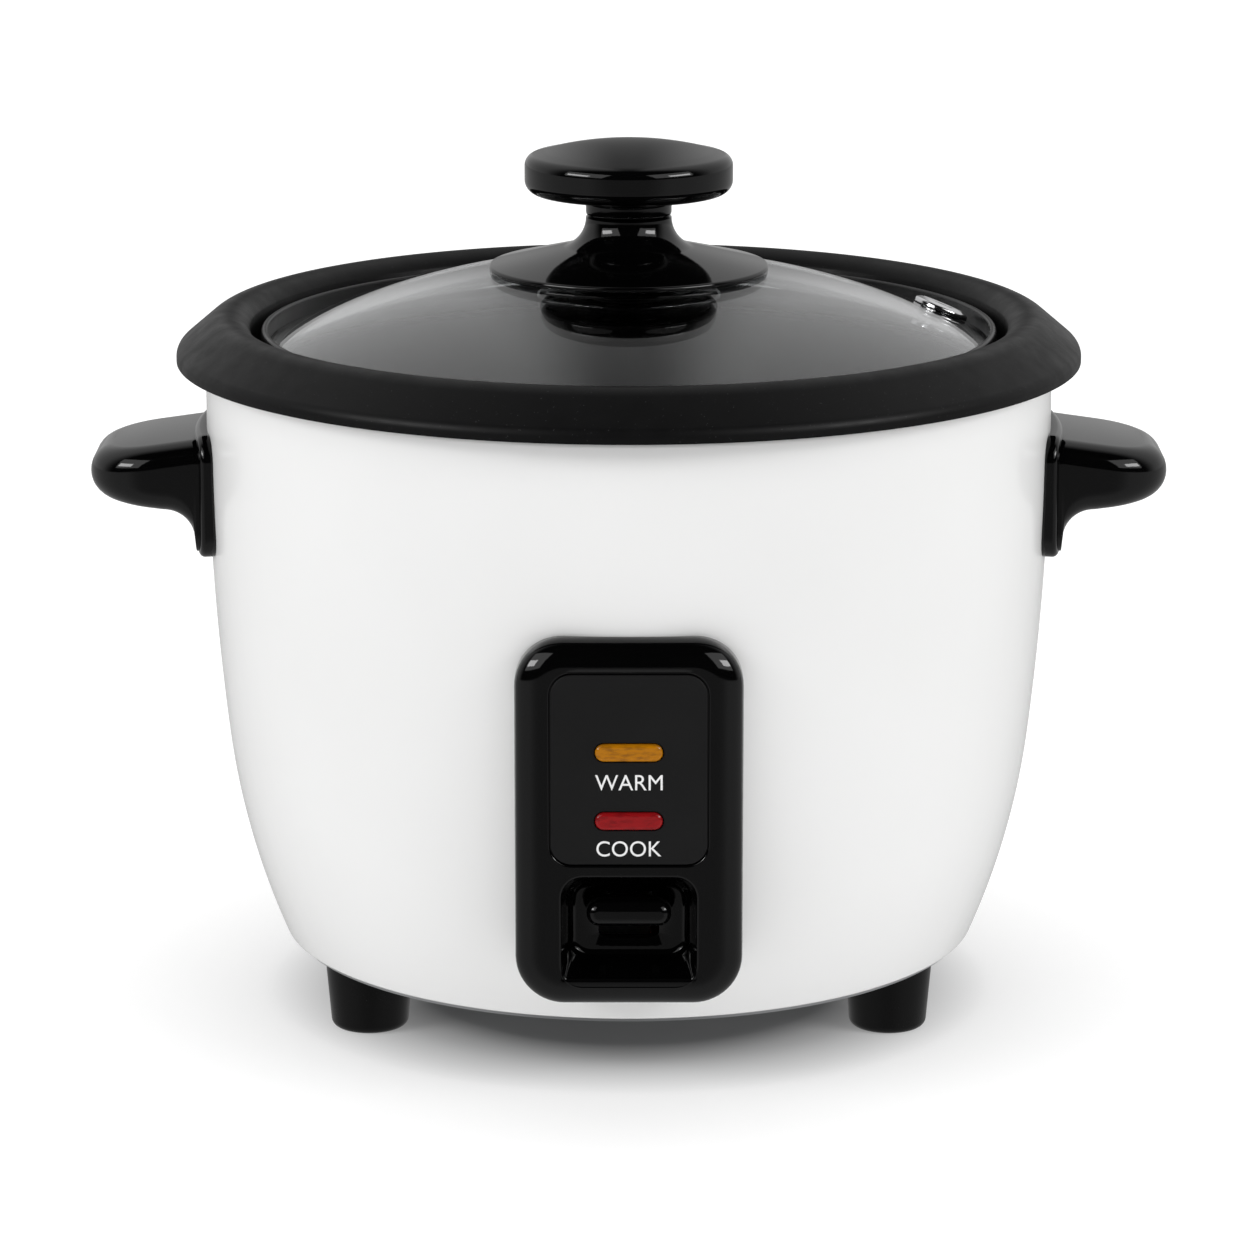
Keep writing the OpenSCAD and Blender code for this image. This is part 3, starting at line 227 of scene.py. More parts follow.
def stack_mesh(outline, profile, place, cap_first=False, cap_last=True, across=1):
    """Rings of outline(inset) joined along a profile of (inset, height).

    place(u, v, h) gives the point; a cap is a grid between the ring's two mirrored halves."""
    verts, faces, rings = [], [], []
    for inset, h in profile:
        ring = outline(inset)
        rings.append(list(range(len(verts), len(verts) + len(ring))))
        verts += [place(u, v, h) for u, v in ring]
    n = len(rings[0])
    for a, b in zip(rings, rings[1:]):
        faces += [(a[k], a[(k + 1) % n], b[(k + 1) % n], b[k]) for k in range(n)]
    ends = ((rings[0], profile[0], cap_first), (rings[-1], profile[-1], cap_last))
    for ring, (inset, h), wanted in ends:
        if not wanted:
            continue
        flat = outline(inset)
        rows = []
        for i in range(n // 2 + 1):
            j = (n - i) % n
            if i in (0, n // 2):
                rows.append([ring[i]] * (across + 1))
                continue
            row = [ring[i]]
            for m in range(1, across):
                t = m / across
                u = flat[i][0] * (1 - t) + flat[j][0] * t
                v = flat[i][1] * (1 - t) + flat[j][1] * t
                row.append(len(verts))
                verts.append(place(u, v, h))
            rows.append(row + [ring[j]])
        for upper, lower in zip(rows, rows[1:]):
            for m in range(across):
                quad = []
                for q in (upper[m], upper[m + 1], lower[m + 1], lower[m]):
                    if q not in quad:
                        quad.append(q)
                if len(quad) > 2:
                    faces.append(tuple(quad))
    return verts, faces


def facing_front(u, v, h):
    """Place for a stack on the cooker's front: h is the distance in front of Y = 0."""
    return (u, -h, v)


def joined(*parts):
    """One mesh of several."""
    verts, faces = [], []
    for v, f in parts:
        faces += [tuple(i + len(verts) for i in face) for face in f]
        verts += v
    return verts, faces


def apply_modifiers(ob):
    """Bakes the piece's modifiers into its mesh."""
    dg = bpy.context.evaluated_depsgraph_get()
    mesh = bpy.data.meshes.new_from_object(ob.evaluated_get(dg))
    ob.modifiers.clear()
    old = ob.data
    ob.data = mesh
    bpy.data.meshes.remove(old)


def cut(ob, verts, faces, sharp=35.0):
    """Takes a solid away from a piece."""
    tool = make("cutter", verts, faces, None, None)
    m = ob.modifiers.new("cut", "BOOLEAN")
    m.operation, m.solver, m.object = "DIFFERENCE", "EXACT", tool
    bpy.context.view_layer.update()
    apply_modifiers(ob)
    bpy.data.objects.remove(tool)
    ob.data.shade_smooth()
    ob.data.set_sharp_from_angle(angle=math.radians(sharp))


def weighted(ob):
    """Keeps flat faces flat beside rounded edges."""
    m = ob.modifiers.new("normals", "WEIGHTED_NORMAL")
    m.keep_sharp = True


# ------------------------------------------------ materials
class Tree:
    """Short-hand for a node tree."""

    def __init__(self, tree):
        self.tree = tree

    def add(self, kind, inputs=None, **props):
        node = self.tree.nodes.new(kind)
        for key, value in props.items():
            setattr(node, key, value)
        for key, value in (inputs or {}).items():
            if hasattr(value, "is_output"):
                self.tree.links.new(value, node.inputs[key])
            else:
                node.inputs[key].default_value = value
        return node

    def calc(self, operation, *values):
        return self.add("ShaderNodeMath", dict(enumerate(values)), operation=operation).outputs[0]

    def span(self, value, lo, hi, new_lo, new_hi, **props):
        limits = {"From Min": lo, "From Max": hi, "To Min": new_lo, "To Max": new_hi}
        return self.add("ShaderNodeMapRange", {"Value": value, **limits}, **props).outputs["Result"]


class Nodes(Tree):
    """Short-hand for a material, whose object coordinates are in metres."""

    def __init__(self, name):
        self.mat = bpy.data.materials.new(name)
        self.mat.use_nodes = True
        super().__init__(self.mat.node_tree)
        self.bsdf = self.tree.nodes["Principled BSDF"]
        self.where = self.tree.nodes.new("ShaderNodeTexCoord").outputs["Object"]

    def noise(self, scale, detail=3.0, rough=0.5, where=None):
        inputs = {"Scale": scale, "Detail": detail, "Roughness": rough}
        inputs["Vector"] = where or self.where
        return self.add("ShaderNodeTexNoise", inputs).outputs["Fac"]

    def length(self, vector):
        return self.add("ShaderNodeVectorMath", {0: vector}, operation="LENGTH").outputs["Value"]

    def ramp(self, value, stops):
        node = self.add("ShaderNodeValToRGB", {"Fac": value})
        e = node.color_ramp.elements
        while len(e) < len(stops):
            e.new(0.5)
        for element, (place, colour) in zip(e, stops):
            element.position = place
            c = colour if hasattr(colour, "__len__") else (colour,) * 3
            element.color = (*c[:3], 1)
        return node.outputs["Color"]

    def mottled(self, value, colour, dark, light_at=0.7):
        """The colour, darker by the factor dark where the value is low."""
        return self.ramp(value, [(0.3, tuple(c * dark for c in colour)), (light_at, colour)])

    def bump(self, height, distance, strength):
        inputs = {"Height": height, "Distance": distance, "Strength": strength}
        return self.add("ShaderNodeBump", inputs).outputs["Normal"]

    def set(self, **sockets):
        for key, value in sockets.items():
            socket = self.bsdf.inputs[key.replace("_", " ")]
            if hasattr(value, "is_output"):
                self.tree.links.new(value, socket)
            elif hasattr(value, "__len__") and len(value) == 3:
                socket.default_value = (*value, 1)
            else:
                socket.default_value = value
        return self.mat


def enamel():
    """Stoved white paint: faint clouds, a fine orange peel and a thin clear coat."""
    n = Nodes("white_enamel")
    cloud = n.noise(14, 2)
    peel = n.noise(420, 2)
    return n.set(
        Base_Color=n.ramp(cloud, [(0.3, (0.845, 0.845, 0.84)), (0.7, (0.875, 0.875, 0.872))]),
        Roughness=n.span(n.noise(60, 4), 0.35, 0.65, 0.16, 0.22),
        Specular_IOR_Level=0.4, Coat_Weight=0.25, Coat_Roughness=0.06,
        Normal=n.bump(peel, 0.00002, 0.35))


def black_plastic(name, colour, rough, grain=0.00001, specular=0.4):
    """Moulded plastic with smudges in its gloss and a grain of the given depth."""
    n = Nodes(name)
    smudge = n.noise(70, 5, 0.6)
    fine = n.noise(1500, 2)
    return n.set(
        Base_Color=n.mottled(n.noise(25, 3), colour, 0.85),
        Roughness=n.span(smudge, 0.3, 0.7, rough * 0.85, rough * 1.2),
        Specular_IOR_Level=specular, Normal=n.bump(fine, grain, 0.4))


def non_stick():
    """Dark coating with sparse grey flecks."""
    n = Nodes("non_stick")
    cells = n.add("ShaderNodeTexVoronoi", {"Vector": n.where, "Scale": 1600.0}, feature="F1")
    fleck = n.ramp(cells.outputs["Distance"], [(0.10, 1.0), (0.22, 0.0)])
    patch = n.ramp(n.noise(900, 2), [(0.55, 0.0), (0.68, 1.0)])
    mask = n.calc("MULTIPLY", fleck, patch)
    ground, grey = (0.004, 0.004, 0.0042, 1), (0.05, 0.05, 0.052, 1)
    # 6 and 7 and output 2 are the mix node's colour sockets
    colour = n.add("ShaderNodeMix", {"Factor": mask, 6: ground, 7: grey}, data_type="RGBA")
    return n.set(
        Base_Color=colour.outputs[2],
        Roughness=n.span(n.noise(200, 4), 0.3, 0.7, 0.36, 0.46),
        Specular_IOR_Level=0.16, Normal=n.bump(n.noise(2600, 3, 0.7), 0.00003, 0.5))


def metal(name, colour, rough, brush=None, spread=0.12):
    """Metal with turning or rolling marks: brush stretches the grain along an axis."""
    n = Nodes(name)
    mapping = n.add("ShaderNodeMapping", {"Vector": n.where, "Scale": brush or (1, 1, 1)})
    grain = n.noise(260, 5, 0.65, mapping.outputs["Vector"])
    tone = n.mottled(n.noise(30, 4), colour, 0.82, 0.72)
    return n.set(Base_Color=tone, Metallic=1.0,
                 Roughness=n.span(grain, 0.3, 0.7, rough - spread / 2, rough + spread / 2),
                 Normal=n.bump(grain, 0.00002, 0.35))


def turned(name, colour, rough, pitch=0.0006):
    """Metal turned on a lathe, with rings about the Z axis."""
    n = Nodes(name)
    flat = n.add("ShaderNodeVectorMath", {0: n.where, 1: (1, 1, 0)}, operation="MULTIPLY")
    radius = n.length(flat.outputs[0])
    rings = n.calc("SINE", n.calc("MULTIPLY", radius, 2 * math.pi / pitch))
    tone = n.mottled(n.noise(40, 4), colour, 0.8)
    return n.set(Base_Color=tone, Metallic=1.0,
                 Roughness=n.span(n.noise(90, 4), 0.3, 0.7, rough - 0.06, rough + 0.08),
                 Normal=n.bump(rings, 0.00002, 0.25))


def grainy(name, colour, rough, scale=900.0, depth=0.00003, metallic=0.0, dark=0.75):
    """Mottled material with a grain of the given scale (per metre) and depth (metres)."""
    n = Nodes(name)
    return n.set(
        Base_Color=n.mottled(n.noise(120, 5, 0.65), colour, dark),
        Roughness=n.span(n.noise(scale / 3, 3), 0.3, 0.7, rough - 0.08, rough + 0.08),
        Metallic=metallic, Normal=n.bump(n.noise(scale, 3), depth, 0.5))


def lens(name, colour, dark):
    """Coloured acrylic with the lamp's ribbed diffuser showing faintly through."""
    n = Nodes(name)
    squeezed = n.add("ShaderNodeMapping", {"Vector": n.where, "Scale": (350, 350, 1300)})
    ribs = n.noise(1, 3, 0.6, squeezed.outputs[0])
    bright = tuple(min(1, c * 1.12) for c in colour)
    tone = n.ramp(ribs, [(0.36, dark), (0.52, colour), (0.8, bright)])
    return n.set(Base_Color=tone, Roughness=0.14, Specular_IOR_Level=0.4)


def clear_glass():
    """Tempered glass, very slightly wavy."""
    n = Nodes("lid_glass")
    return n.set(Base_Color=(0.93, 0.945, 0.95), Transmission_Weight=1.0, IOR=1.5,
                 Roughness=n.span(n.noise(35, 4), 0.35, 0.7, 0.0, 0.018),
                 Normal=n.bump(n.noise(18, 2), 0.00004, 0.12))


M = {
    "white_enamel": enamel(),
    "black_gloss": black_plastic("black_gloss", (0.0012, 0.0012, 0.0013), 0.06, specular=0.42),
    "black_satin": black_plastic("black_satin", (0.009, 0.009, 0.0095), 0.3, 0.00002),
    "foot_plastic": black_plastic("foot_plastic", (0.003, 0.003, 0.0031), 0.3, 0.00003, 0.22),
    "black_matt": black_plastic("black_matt", (0.0085, 0.0085, 0.0088), 0.5, 0.00003, 0.25),
    "non_stick": non_stick(),
    "zinc_sheet": metal("zinc_sheet", (0.60, 0.61, 0.62), 0.36, (1, 1, 0.08)),
    "steel": metal("steel", (0.58, 0.58, 0.59), 0.28),
    "element_steel": metal("element_steel", (0.30, 0.28, 0.26), 0.42),
    "cast_aluminium": turned("cast_aluminium", (0.72, 0.72, 0.73), 0.32),
    "chrome": metal("chrome", (0.83, 0.83, 0.84), 0.1, spread=0.06),
    "brass": metal("brass", (0.78, 0.62, 0.34), 0.22),
    "ferrite": grainy("ferrite", (0.05, 0.05, 0.052), 0.55, metallic=0.3),
    "ceramic": grainy("ceramic", (0.80, 0.77, 0.70), 0.6, 500.0),
    "board_green": grainy("board_green", (0.03, 0.16, 0.06), 0.42, 700.0),
    "lamp_glass": grainy("lamp_glass", (0.86, 0.80, 0.68), 0.12, 300.0, 0.00001),
    "wire_jacket": grainy("wire_jacket", (0.32, 0.025, 0.02), 0.5, 1200.0),
    "gasket_rubber": grainy("gasket_rubber", (0.014, 0.014, 0.014), 0.62),
    "amber_lens": lens("amber_lens", (0.42, 0.155, 0.002), (0.27, 0.10, 0.004)),
    "red_lens": lens("red_lens", (0.26, 0.006, 0.008), (0.19, 0.005, 0.007)),
    "lid_glass": clear_glass(),
    "print_white": grainy("print_white", (0.86, 0.86, 0.86), 0.45, 1500.0, 0.000005, dark=0.95),
}
slot_of = {s["node"]: s["material_slot"] for s in frame["record"]["subparts"]}
for node_name, node in nodes.items():
    node.data.materials.clear()
    node.data.materials.append(M[slot_of[node_name]])
    node.data.shade_smooth()
    node.data.set_sharp_from_angle(angle=math.radians(30))


# ------------------------------------------------ body shell
def outward(a):
    """Direction in the (radius, z) plane, a degrees below the horizontal."""
    return Vector((cos_deg(a), -sin_deg(a)))


lower_h = LOWER_R * (sin_deg(FOOT_SLOPE) - sin_deg(WAIST))
upper_h = (BODY_H - BAND_H - lower_h - TAIL * cos_deg(FOOT_SLOPE)
           - ROLL_R * (1 - sin_deg(FOOT_SLOPE)))
UPPER_R = upper_h / (sin_deg(WAIST) + sin_deg(TOP_LEAN))
upper_c = Vector((SHELL_R - UPPER_R * cos_deg(TOP_LEAN),
                  TOP_Z - BAND_H - UPPER_R * sin_deg(TOP_LEAN)))
lower_c = upper_c + (UPPER_R - LOWER_R) * outward(WAIST)
tail_end = lower_c + LOWER_R * outward(FOOT_SLOPE) + TAIL * Vector(
    (-sin_deg(FOOT_SLOPE), -cos_deg(FOOT_SLOPE)))
roll_c = tail_end - ROLL_R * outward(FOOT_SLOPE)


def wall_r(z):
    """Radius of the shell's outer wall at height z."""
    if z > upper_c.y + UPPER_R * sin_deg(TOP_LEAN):
        return SHELL_R
    if z > (upper_c + UPPER_R * outward(WAIST)).y:
        return upper_c.x + math.sqrt(UPPER_R**2 - (z - upper_c.y) ** 2)
    return lower_c.x + math.sqrt(max(LOWER_R**2 - (z - lower_c.y) ** 2, 0))


shell_path = ([(SHELL_R - TOP_LIP, TOP_Z)]
              + arc(SHELL_R - LIP_ROUND, TOP_Z - LIP_ROUND, LIP_ROUND, 90, 0, 8)
              + arc(upper_c.x, upper_c.y, UPPER_R, TOP_LEAN, -WAIST, 30)
              + arc(lower_c.x, lower_c.y, LOWER_R, -WAIST, -FOOT_SLOPE, 26)
              + arc(roll_c.x, roll_c.y, ROLL_R, -FOOT_SLOPE, -90, 6)
              + [(roll_c.x - BOTTOM_LIP, FOOT_H)])
SEGMENTS = 240
# Windows in the shell: middle azimuth and half width in degrees, lowest and highest z
PANEL_WINDOW = (270, 9.2, 27.6, 95.6)
INLET_WINDOW = (90, 9.8, 26.0, 42.8)


def in_windows(azimuth, z):
    return any(abs(azimuth - middle) < half and low < z < high
               for middle, half, low, high in (PANEL_WINDOW, INLET_WINDOW))


shell = lathe("body_shell", shell_path, "base", M["white_enamel"], SEGMENTS, skip=in_windows,
              stands_for=["outer_shell"], slot="white_enamel")
thick = shell.modifiers.new("sheet", "SOLIDIFY")
thick.thickness, thick.offset, thick.use_even_offset = SHELL_T * MM, -1, True

# ------------------------------------------------ feet
BORE_R, BORE_H, FOOT_LOW_R, FOOT_TOP_R = 4.4, 8.0, 8.55, 9.8
foot_top = FOOT_H - BASE_T
foot_side = filleted([(BORE_R, BORE_H, 0), (BORE_R, 0, 0.5),
                      (FOOT_LOW_R, 0, 1.9), (FOOT_TOP_R, foot_top, 0)])
foot_path = [(0, BORE_H), *foot_side, (0, foot_top)]
for side_name in ("front_left", "front_right", "rear"):
    lo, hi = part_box("foot_" + side_name)
    centre = (lo + hi) / 2 / MM
    lathe("foot_post_" + side_name, foot_path, "base", M["foot_plastic"], 96,
          at=(centre.x, centre.y), stands_for=["foot_" + side_name], slot="foot_plastic")

# ------------------------------------------------ pot, lid band and glass
edge_c = (BRIM_R - BRIM_EDGE_R, BRIM_LOW_Z + 1.4)
reach = Vector(edge_c) - Vector(CREST)
lean = math.acos((CREST_R - BRIM_EDGE_R) / reach.length)
tangent = math.degrees(math.atan2(reach.y, reach.x) + lean)
pot_outer = (arc(*CREST, CREST_R, 150, tangent, 24)
             + arc(*edge_c, BRIM_EDGE_R, tangent, 0, 12) + [(BRIM_R, BRIM_LOW_Z + 0.3)])
corner_z, wall_in = POT_Z + POT_CORNER, POT_R - POT_T
pot_in = ([(0, POT_Z + POT_T)] + arc(POT_R - POT_CORNER, corner_z, POT_CORNER - POT_T, -90, 0, 14)
          + filleted([(wall_in, corner_z, 0), (wall_in, LEDGE_Z, 1.0),
                      (LEDGE_R, LEDGE_Z, 0.8), pot_outer[0] + (0,)], 4)[1:-1])
pot_path = pot_in + pot_outer
pot_loop = pot_path + list(reversed(offset(pot_path, -POT_T)[1:])) + [(0, POT_Z)]
lathe("pot_shell", pot_loop, "pot", M["non_stick"], SEGMENTS,
      stands_for=["inner_pot"], slot="non_stick")

seat_r = BAND_R - 5
band_top = LEDGE_Z + RIM_H
band_path = filleted([(seat_r, LEDGE_Z, 0), (BAND_R, LEDGE_Z, 0.4), (BAND_R, band_top, 0.7),
                      (GLASS_R, band_top, 0.55), (GLASS_R, GLASS_SEAT, 0.05),
                      (seat_r, GLASS_SEAT, 0)], 4)
lathe("lid_band", band_path, "lid", M["black_satin"], SEGMENTS, closed=True,
      stands_for=["lid_rim"], slot="black_satin")

HOLE_R = 5.0        # for the knob's screw, under the skirt
EDGE_GAP = 0.06     # between the glass and its band
outer_edge, inner_edge = acos_deg(GLASS_R / DOME_R), acos_deg(GLASS_R / DOME_IN)
hole_out, hole_in = acos_deg(HOLE_R / DOME_R), acos_deg(HOLE_R / DOME_IN)
dome_outer = arc(0, DOME_Z, DOME_R, hole_out, outer_edge, 40)
dome_inner = arc(0, DOME_Z, DOME_IN, inner_edge, hole_in, 40)
dome_outer[-1] = (GLASS_R - EDGE_GAP, dome_outer[-1][1])
dome_inner[0] = (GLASS_R - EDGE_GAP, dome_inner[0][1])
glass = lathe("lid_dome", dome_outer + dome_inner, "lid", M["lid_glass"], SEGMENTS, closed=True,
              stands_for=["lid_glass"], slot="lid_glass")

# ------------------------------------------------ steam vent
VENT_AZ, VENT_TILT = 15.0, math.degrees(math.asin((GLASS_R - 7.4) / DOME_R))
on_dome = Matrix.Rotation(math.radians(VENT_TILT), 4, "Y") @ Matrix.Translation((0, 0, DOME_IN))
vent_frame = (Matrix.Rotation(math.radians(VENT_AZ), 4, "Z")
              @ Matrix.Translation((0, 0, DOME_Z)) @ on_dome)


def at_vent(mesh_parts):
    verts, faces = mesh_parts
    return [tuple(vent_frame @ Vector(v)) for v in verts], faces


def vent_slit(x):
    """One of the two slits, as a solid to take away."""
    def outline(inset):
        return [(u + x, v) for u, v in rounded_rect(2.1, 4.6, 1.04, inset)]

    return stack_mesh(outline, [(0, -4), (0, 8)], lambda u, v, h: (u, v, h), cap_first=True)


DRILL_R, SLEEVE_R = 4.02, 3.98
vent_seat = GLASS_T + 0.02
cut(glass, *at_vent(lathe_mesh([(0, -2), (DRILL_R, -2), (DRILL_R, 8), (0, 8)], 48)), sharp=40)
vent_path = filleted([(0, -2, 0), (5.2, -2, 0.5), (5.2, -0.4, 0.3), (SLEEVE_R, -0.4, 0.1),
                      (SLEEVE_R, vent_seat, 0.1), (6.4, vent_seat, 0.15),
                      (6.4, GLASS_T + 1.1, 0.7), (4.9, GLASS_T + 1.8, 0.5),
                      (4.3, GLASS_T + 1.1, 0.3), (0, GLASS_T + 1.1, 0)], 5)
vent = make("vent_grommet", *at_vent(lathe_mesh(vent_path, 72)), "lid", M["chrome"],
            stands_for=["steam_vent"], slot="chrome")
for x in (-1.75, 1.75):
    cut(vent, *at_vent(vent_slit(x)))

# ------------------------------------------------ knob
SKIRT_R, NECK_R, FLARE_R, SLOPE = 31.4, 9.6, 7.0, 15.0
RIM_Z = DOME_Z + math.sqrt(DOME_R**2 - SKIRT_R**2) + 0.08
RIM_TOP = RIM_Z + 1.4
flare_end_r = NECK_R + FLARE_R * (1 - cos_deg(90 - SLOPE))
flare_end_z = RIM_TOP + (SKIRT_R - flare_end_r) * tan_deg(SLOPE)
SEAM_Z = flare_end_z + FLARE_R * sin_deg(90 - SLOPE)
SEAM_GAP = 0.12     # half of the gap between the knob's two pieces
flare_under = RIM_Z + (SKIRT_R - flare_end_r) * tan_deg(SLOPE)
skirt_path = ([(0, SEAM_Z - SEAM_GAP), (NECK_R - 0.5, SEAM_Z - SEAM_GAP),
               (NECK_R - 0.12, SEAM_Z - 0.3)]
              + arc(NECK_R + FLARE_R, SEAM_Z - 0.4, FLARE_R, 180, 270 - SLOPE, 18)
              + filleted([(flare_end_r, flare_end_z - 0.1, 0), (SKIRT_R, RIM_TOP, 0.7),
                          (SKIRT_R, RIM_Z, 0.4), (flare_end_r, flare_under, 0)], 6)[1:-1]
              + [(flare_end_r, flare_under), (0, flare_under)])
lathe("knob_flare", skirt_path, "lid", M["black_gloss"], 192,
      stands_for=["knob_skirt"], slot="black_gloss")

# CROWN is the height of the domed top, UP_F and LOW_F the edges' radii, SIDE the height between
KNOB_R, KNOB_TOP, CROWN, UP_F, LOW_F, SIDE = 23.3, SEAM_Z + 16.7, 2.9, 2.6, 3.0, 3.2
NECK_FILLET = 2.5
side_top = KNOB_TOP - CROWN - UP_F
side_low = side_top - SIDE
crown_edge = KNOB_R - UP_F
crown_r = (crown_edge**2 + CROWN**2) / (2 * CROWN)
crown_half = math.degrees(math.asin((crown_edge - 0.6) / crown_r))
knob_path = ([(0, SEAM_Z + SEAM_GAP), (NECK_R - 0.5, SEAM_Z + SEAM_GAP),
              (NECK_R - 0.1, SEAM_Z + 0.35), (NECK_R, SEAM_Z + 0.8)]
             + arc(NECK_R + NECK_FILLET, side_low - LOW_F - NECK_FILLET, NECK_FILLET, 180, 90, 8)
             + arc(KNOB_R - LOW_F, side_low, LOW_F, -90, 0, 10)
             + arc(crown_edge, side_top, UP_F, 0, 90 - crown_half, 10)
             + arc(0, KNOB_TOP - crown_r, crown_r, 90 - crown_half + 0.6, 90, 24))
lathe("knob_disc", knob_path, "lid", M["black_gloss"], 192,
      stands_for=["knob_top"], slot="black_gloss")

WASHER_R, WASHER_T, BOSS_R, BOSS_H, SCREW_R = 20.5, 4.6, 14, 4.4, 2.6
washer_top = DOME_Z + math.sqrt(DOME_IN**2 - BOSS_R**2)
washer_z = washer_top - BOSS_H
washer_low = washer_z - WASHER_T
washer_path = filleted([(SCREW_R, washer_low, 0), (WASHER_R, washer_low, 1.0),
                        (WASHER_R, washer_z, 1.0), (BOSS_R, washer_z, 0.4),
                        (BOSS_R, washer_top - 0.05, 0.2), (SCREW_R, DOME_Z + DOME_IN - 0.1, 0)], 6)
lathe("knob_foot", washer_path, "lid", M["black_gloss"], 144, closed=True,
      stands_for=["knob_washer"], slot="black_gloss")

# ------------------------------------------------ handles
TIP_X, HALF_D, GRIP_TOP, GRIP_T = 121.0, 20.0, 130.7, 16.0
EDGE_R, PLAN_R, GUSSET_R = 5.0, 14.0, 7.0
TOP_SLOPE, UNDER_SLOPE = tan_deg(8), tan_deg(7)
FLANGE_T, FLANGE_LOW, FLANGE_TOP, FLANGE_HALF = 2.8, 104.4, 132.0, 23.5
GUSSET_X = SHELL_R + FLANGE_T - 0.8


def grip_bottom(x):
    """Height of the grip's underside, which curves down into the flange."""
    start = GUSSET_X + GUSSET_R
    low = GRIP_TOP - GRIP_T
    if x >= start:
        return low + (x - start) * UNDER_SLOPE
    if x <= GUSSET_X + 0.15:
        return low - GUSSET_R - 2.5
    return low - GUSSET_R + math.sqrt(max(GUSSET_R**2 - (start - x) ** 2, 0))


def grip_outline(inset):
    """Grip seen from above, anticlockwise: straight sides from inside the flange, round tip."""
    x0, n = SHELL_R - 1.5, 30
    half, r = HALF_D - inset, max(PLAN_R - inset, 0.5)
    tip = TIP_X - inset
    side = [(x0 + (tip - r - x0) * (i / n) ** 1.3, -half) for i in range(n)]
    corner = arc(tip - r, r - half, r, -90, 0, 14)
    lower = side + corner + [(tip, 0)]
    return lower + [(x, -y) for x, y in reversed(lower[:-1])]


def grip_mesh(sign):
    """Rings of the plan from the top's flat round the edge, down the side, and under."""
    verts, faces, rings = [], [], []
    angles = [90 * i / 8 for i in range(9)]
    quarter = [(EDGE_R * (1 - sin_deg(a)), EDGE_R * (1 - cos_deg(a))) for a in angles]
    profile = [(inset, drop, "top") for inset, drop in quarter]
    profile += [(inset, drop, "low") for drop, inset in quarter]
    for inset, drop, half in profile:
        base = grip_outline(inset)
        rings.append(list(range(len(verts), len(verts) + len(base))))
        for x, y in base:
            top = GRIP_TOP - max(x - GUSSET_X, 0) * TOP_SLOPE
            z = top - drop if half == "top" else grip_bottom(x) + drop
            verts.append((sign * x, y, z))
    n = len(rings[0])
    for a, b in zip(rings, rings[1:]):
        faces += [(a[k], a[k + 1], b[k + 1], b[k]) for k in range(n - 1)]
        faces += [(a[-1], a[0], b[0], b[-1])]
    for ring in (rings[0], rings[-1]):
        faces += [(ring[k], ring[k + 1], ring[n - 2 - k], ring[n - 1 - k])
                  for k in range(n // 2 - 1)]
        faces += [(ring[n // 2 - 1], ring[n // 2], ring[n // 2 + 1])]
    return verts, faces


def flange_mesh(sign):
    """Plate that hugs the wall: its outline is bent round the body."""
    w, h = 2 * FLANGE_HALF, FLANGE_TOP - FLANGE_LOW
    mid = (FLANGE_TOP + FLANGE_LOW) / 2
    edge = 1.3
    profile = [(0, -0.3), (0, FLANGE_T - edge)] + round_over(FLANGE_T, edge, 6)

    def place(u, v, h_out):
        z = v + mid
        r = SHELL_R + h_out if h_out > 0 else wall_r(z) + h_out
        a = u / (SHELL_R + FLANGE_T)
        return (sign * r * math.cos(a), r * math.sin(a), z)

    return stack_mesh(lambda d: rounded_rect(w, h, 5.5, d, 8, 12), profile, place,
                      cap_first=True, across=24)


for sign, side_name in ((-1, "left"), (1, "right")):
    make("grip_" + side_name, *grip_mesh(sign), "base", M["black_gloss"],
         stands_for=["handle_" + side_name], slot="black_gloss", sharp=50)
    make("flange_" + side_name, *flange_mesh(sign), "base", M["black_gloss"],
         stands_for=["handle_" + side_name], slot="black_gloss", sharp=50)

# ------------------------------------------------ control panel
FILLET_W, FILLET_H, SKIN = 6.4, 4.6, 1.5


def panel_outline(inset):
    return rounded_rect(PANEL_W, PANEL_H, PANEL_R, inset, 14, 10)


def panel_back(u, v, h):
    """Place for the panel's stack; a negative h is measured from the shell's wall."""
    if h < 0:
        r = wall_r(v + PANEL_MID) + h
        return (u, -math.sqrt(max(r * r - u * u, 0)), v + PANEL_MID)
    return (u, -h, v + PANEL_MID)


face_y = -PANEL_Y
panel_profile = [(0, -0.6), (0, face_y - FILLET_H)] + round_over(face_y, FILLET_H, 12, FILLET_W)


def inside(x, z, loop):
    """Whether a point lies inside a loop in the XZ plane."""
    hit = False
    for (x0, z0), (x1, z1) in zip(loop, loop[1:] + loop[:1]):
        if (z0 > z) != (z1 > z) and x < x0 + (z - z0) * (x1 - x0) / (z1 - z0):
            hit = not hit
    return hit


def planar_fill(loops, y):
    """Flat face at -y between an outer loop and the loops inside it, as triangles."""
    points, edges = [], []
    for loop in loops:
        first, n = len(points), len(loop)
        points += [Vector(p) for p in loop]
        edges += [(first + k, first + (k + 1) % n) for k in range(n)]
    flat, _, triangles, *_ = delaunay_2d_cdt(points, edges, [], 0, 1e-5)
    faces = []
    for tri in triangles:
        x, z = (sum(flat[k][axis] for k in tri) / 3 for axis in (0, 1))
        if inside(x, z, loops[0]) and not any(inside(x, z, hole) for hole in loops[1:]):
            faces.append(tuple(tri))
    return [(x, -y, z) for x, z in flat], faces


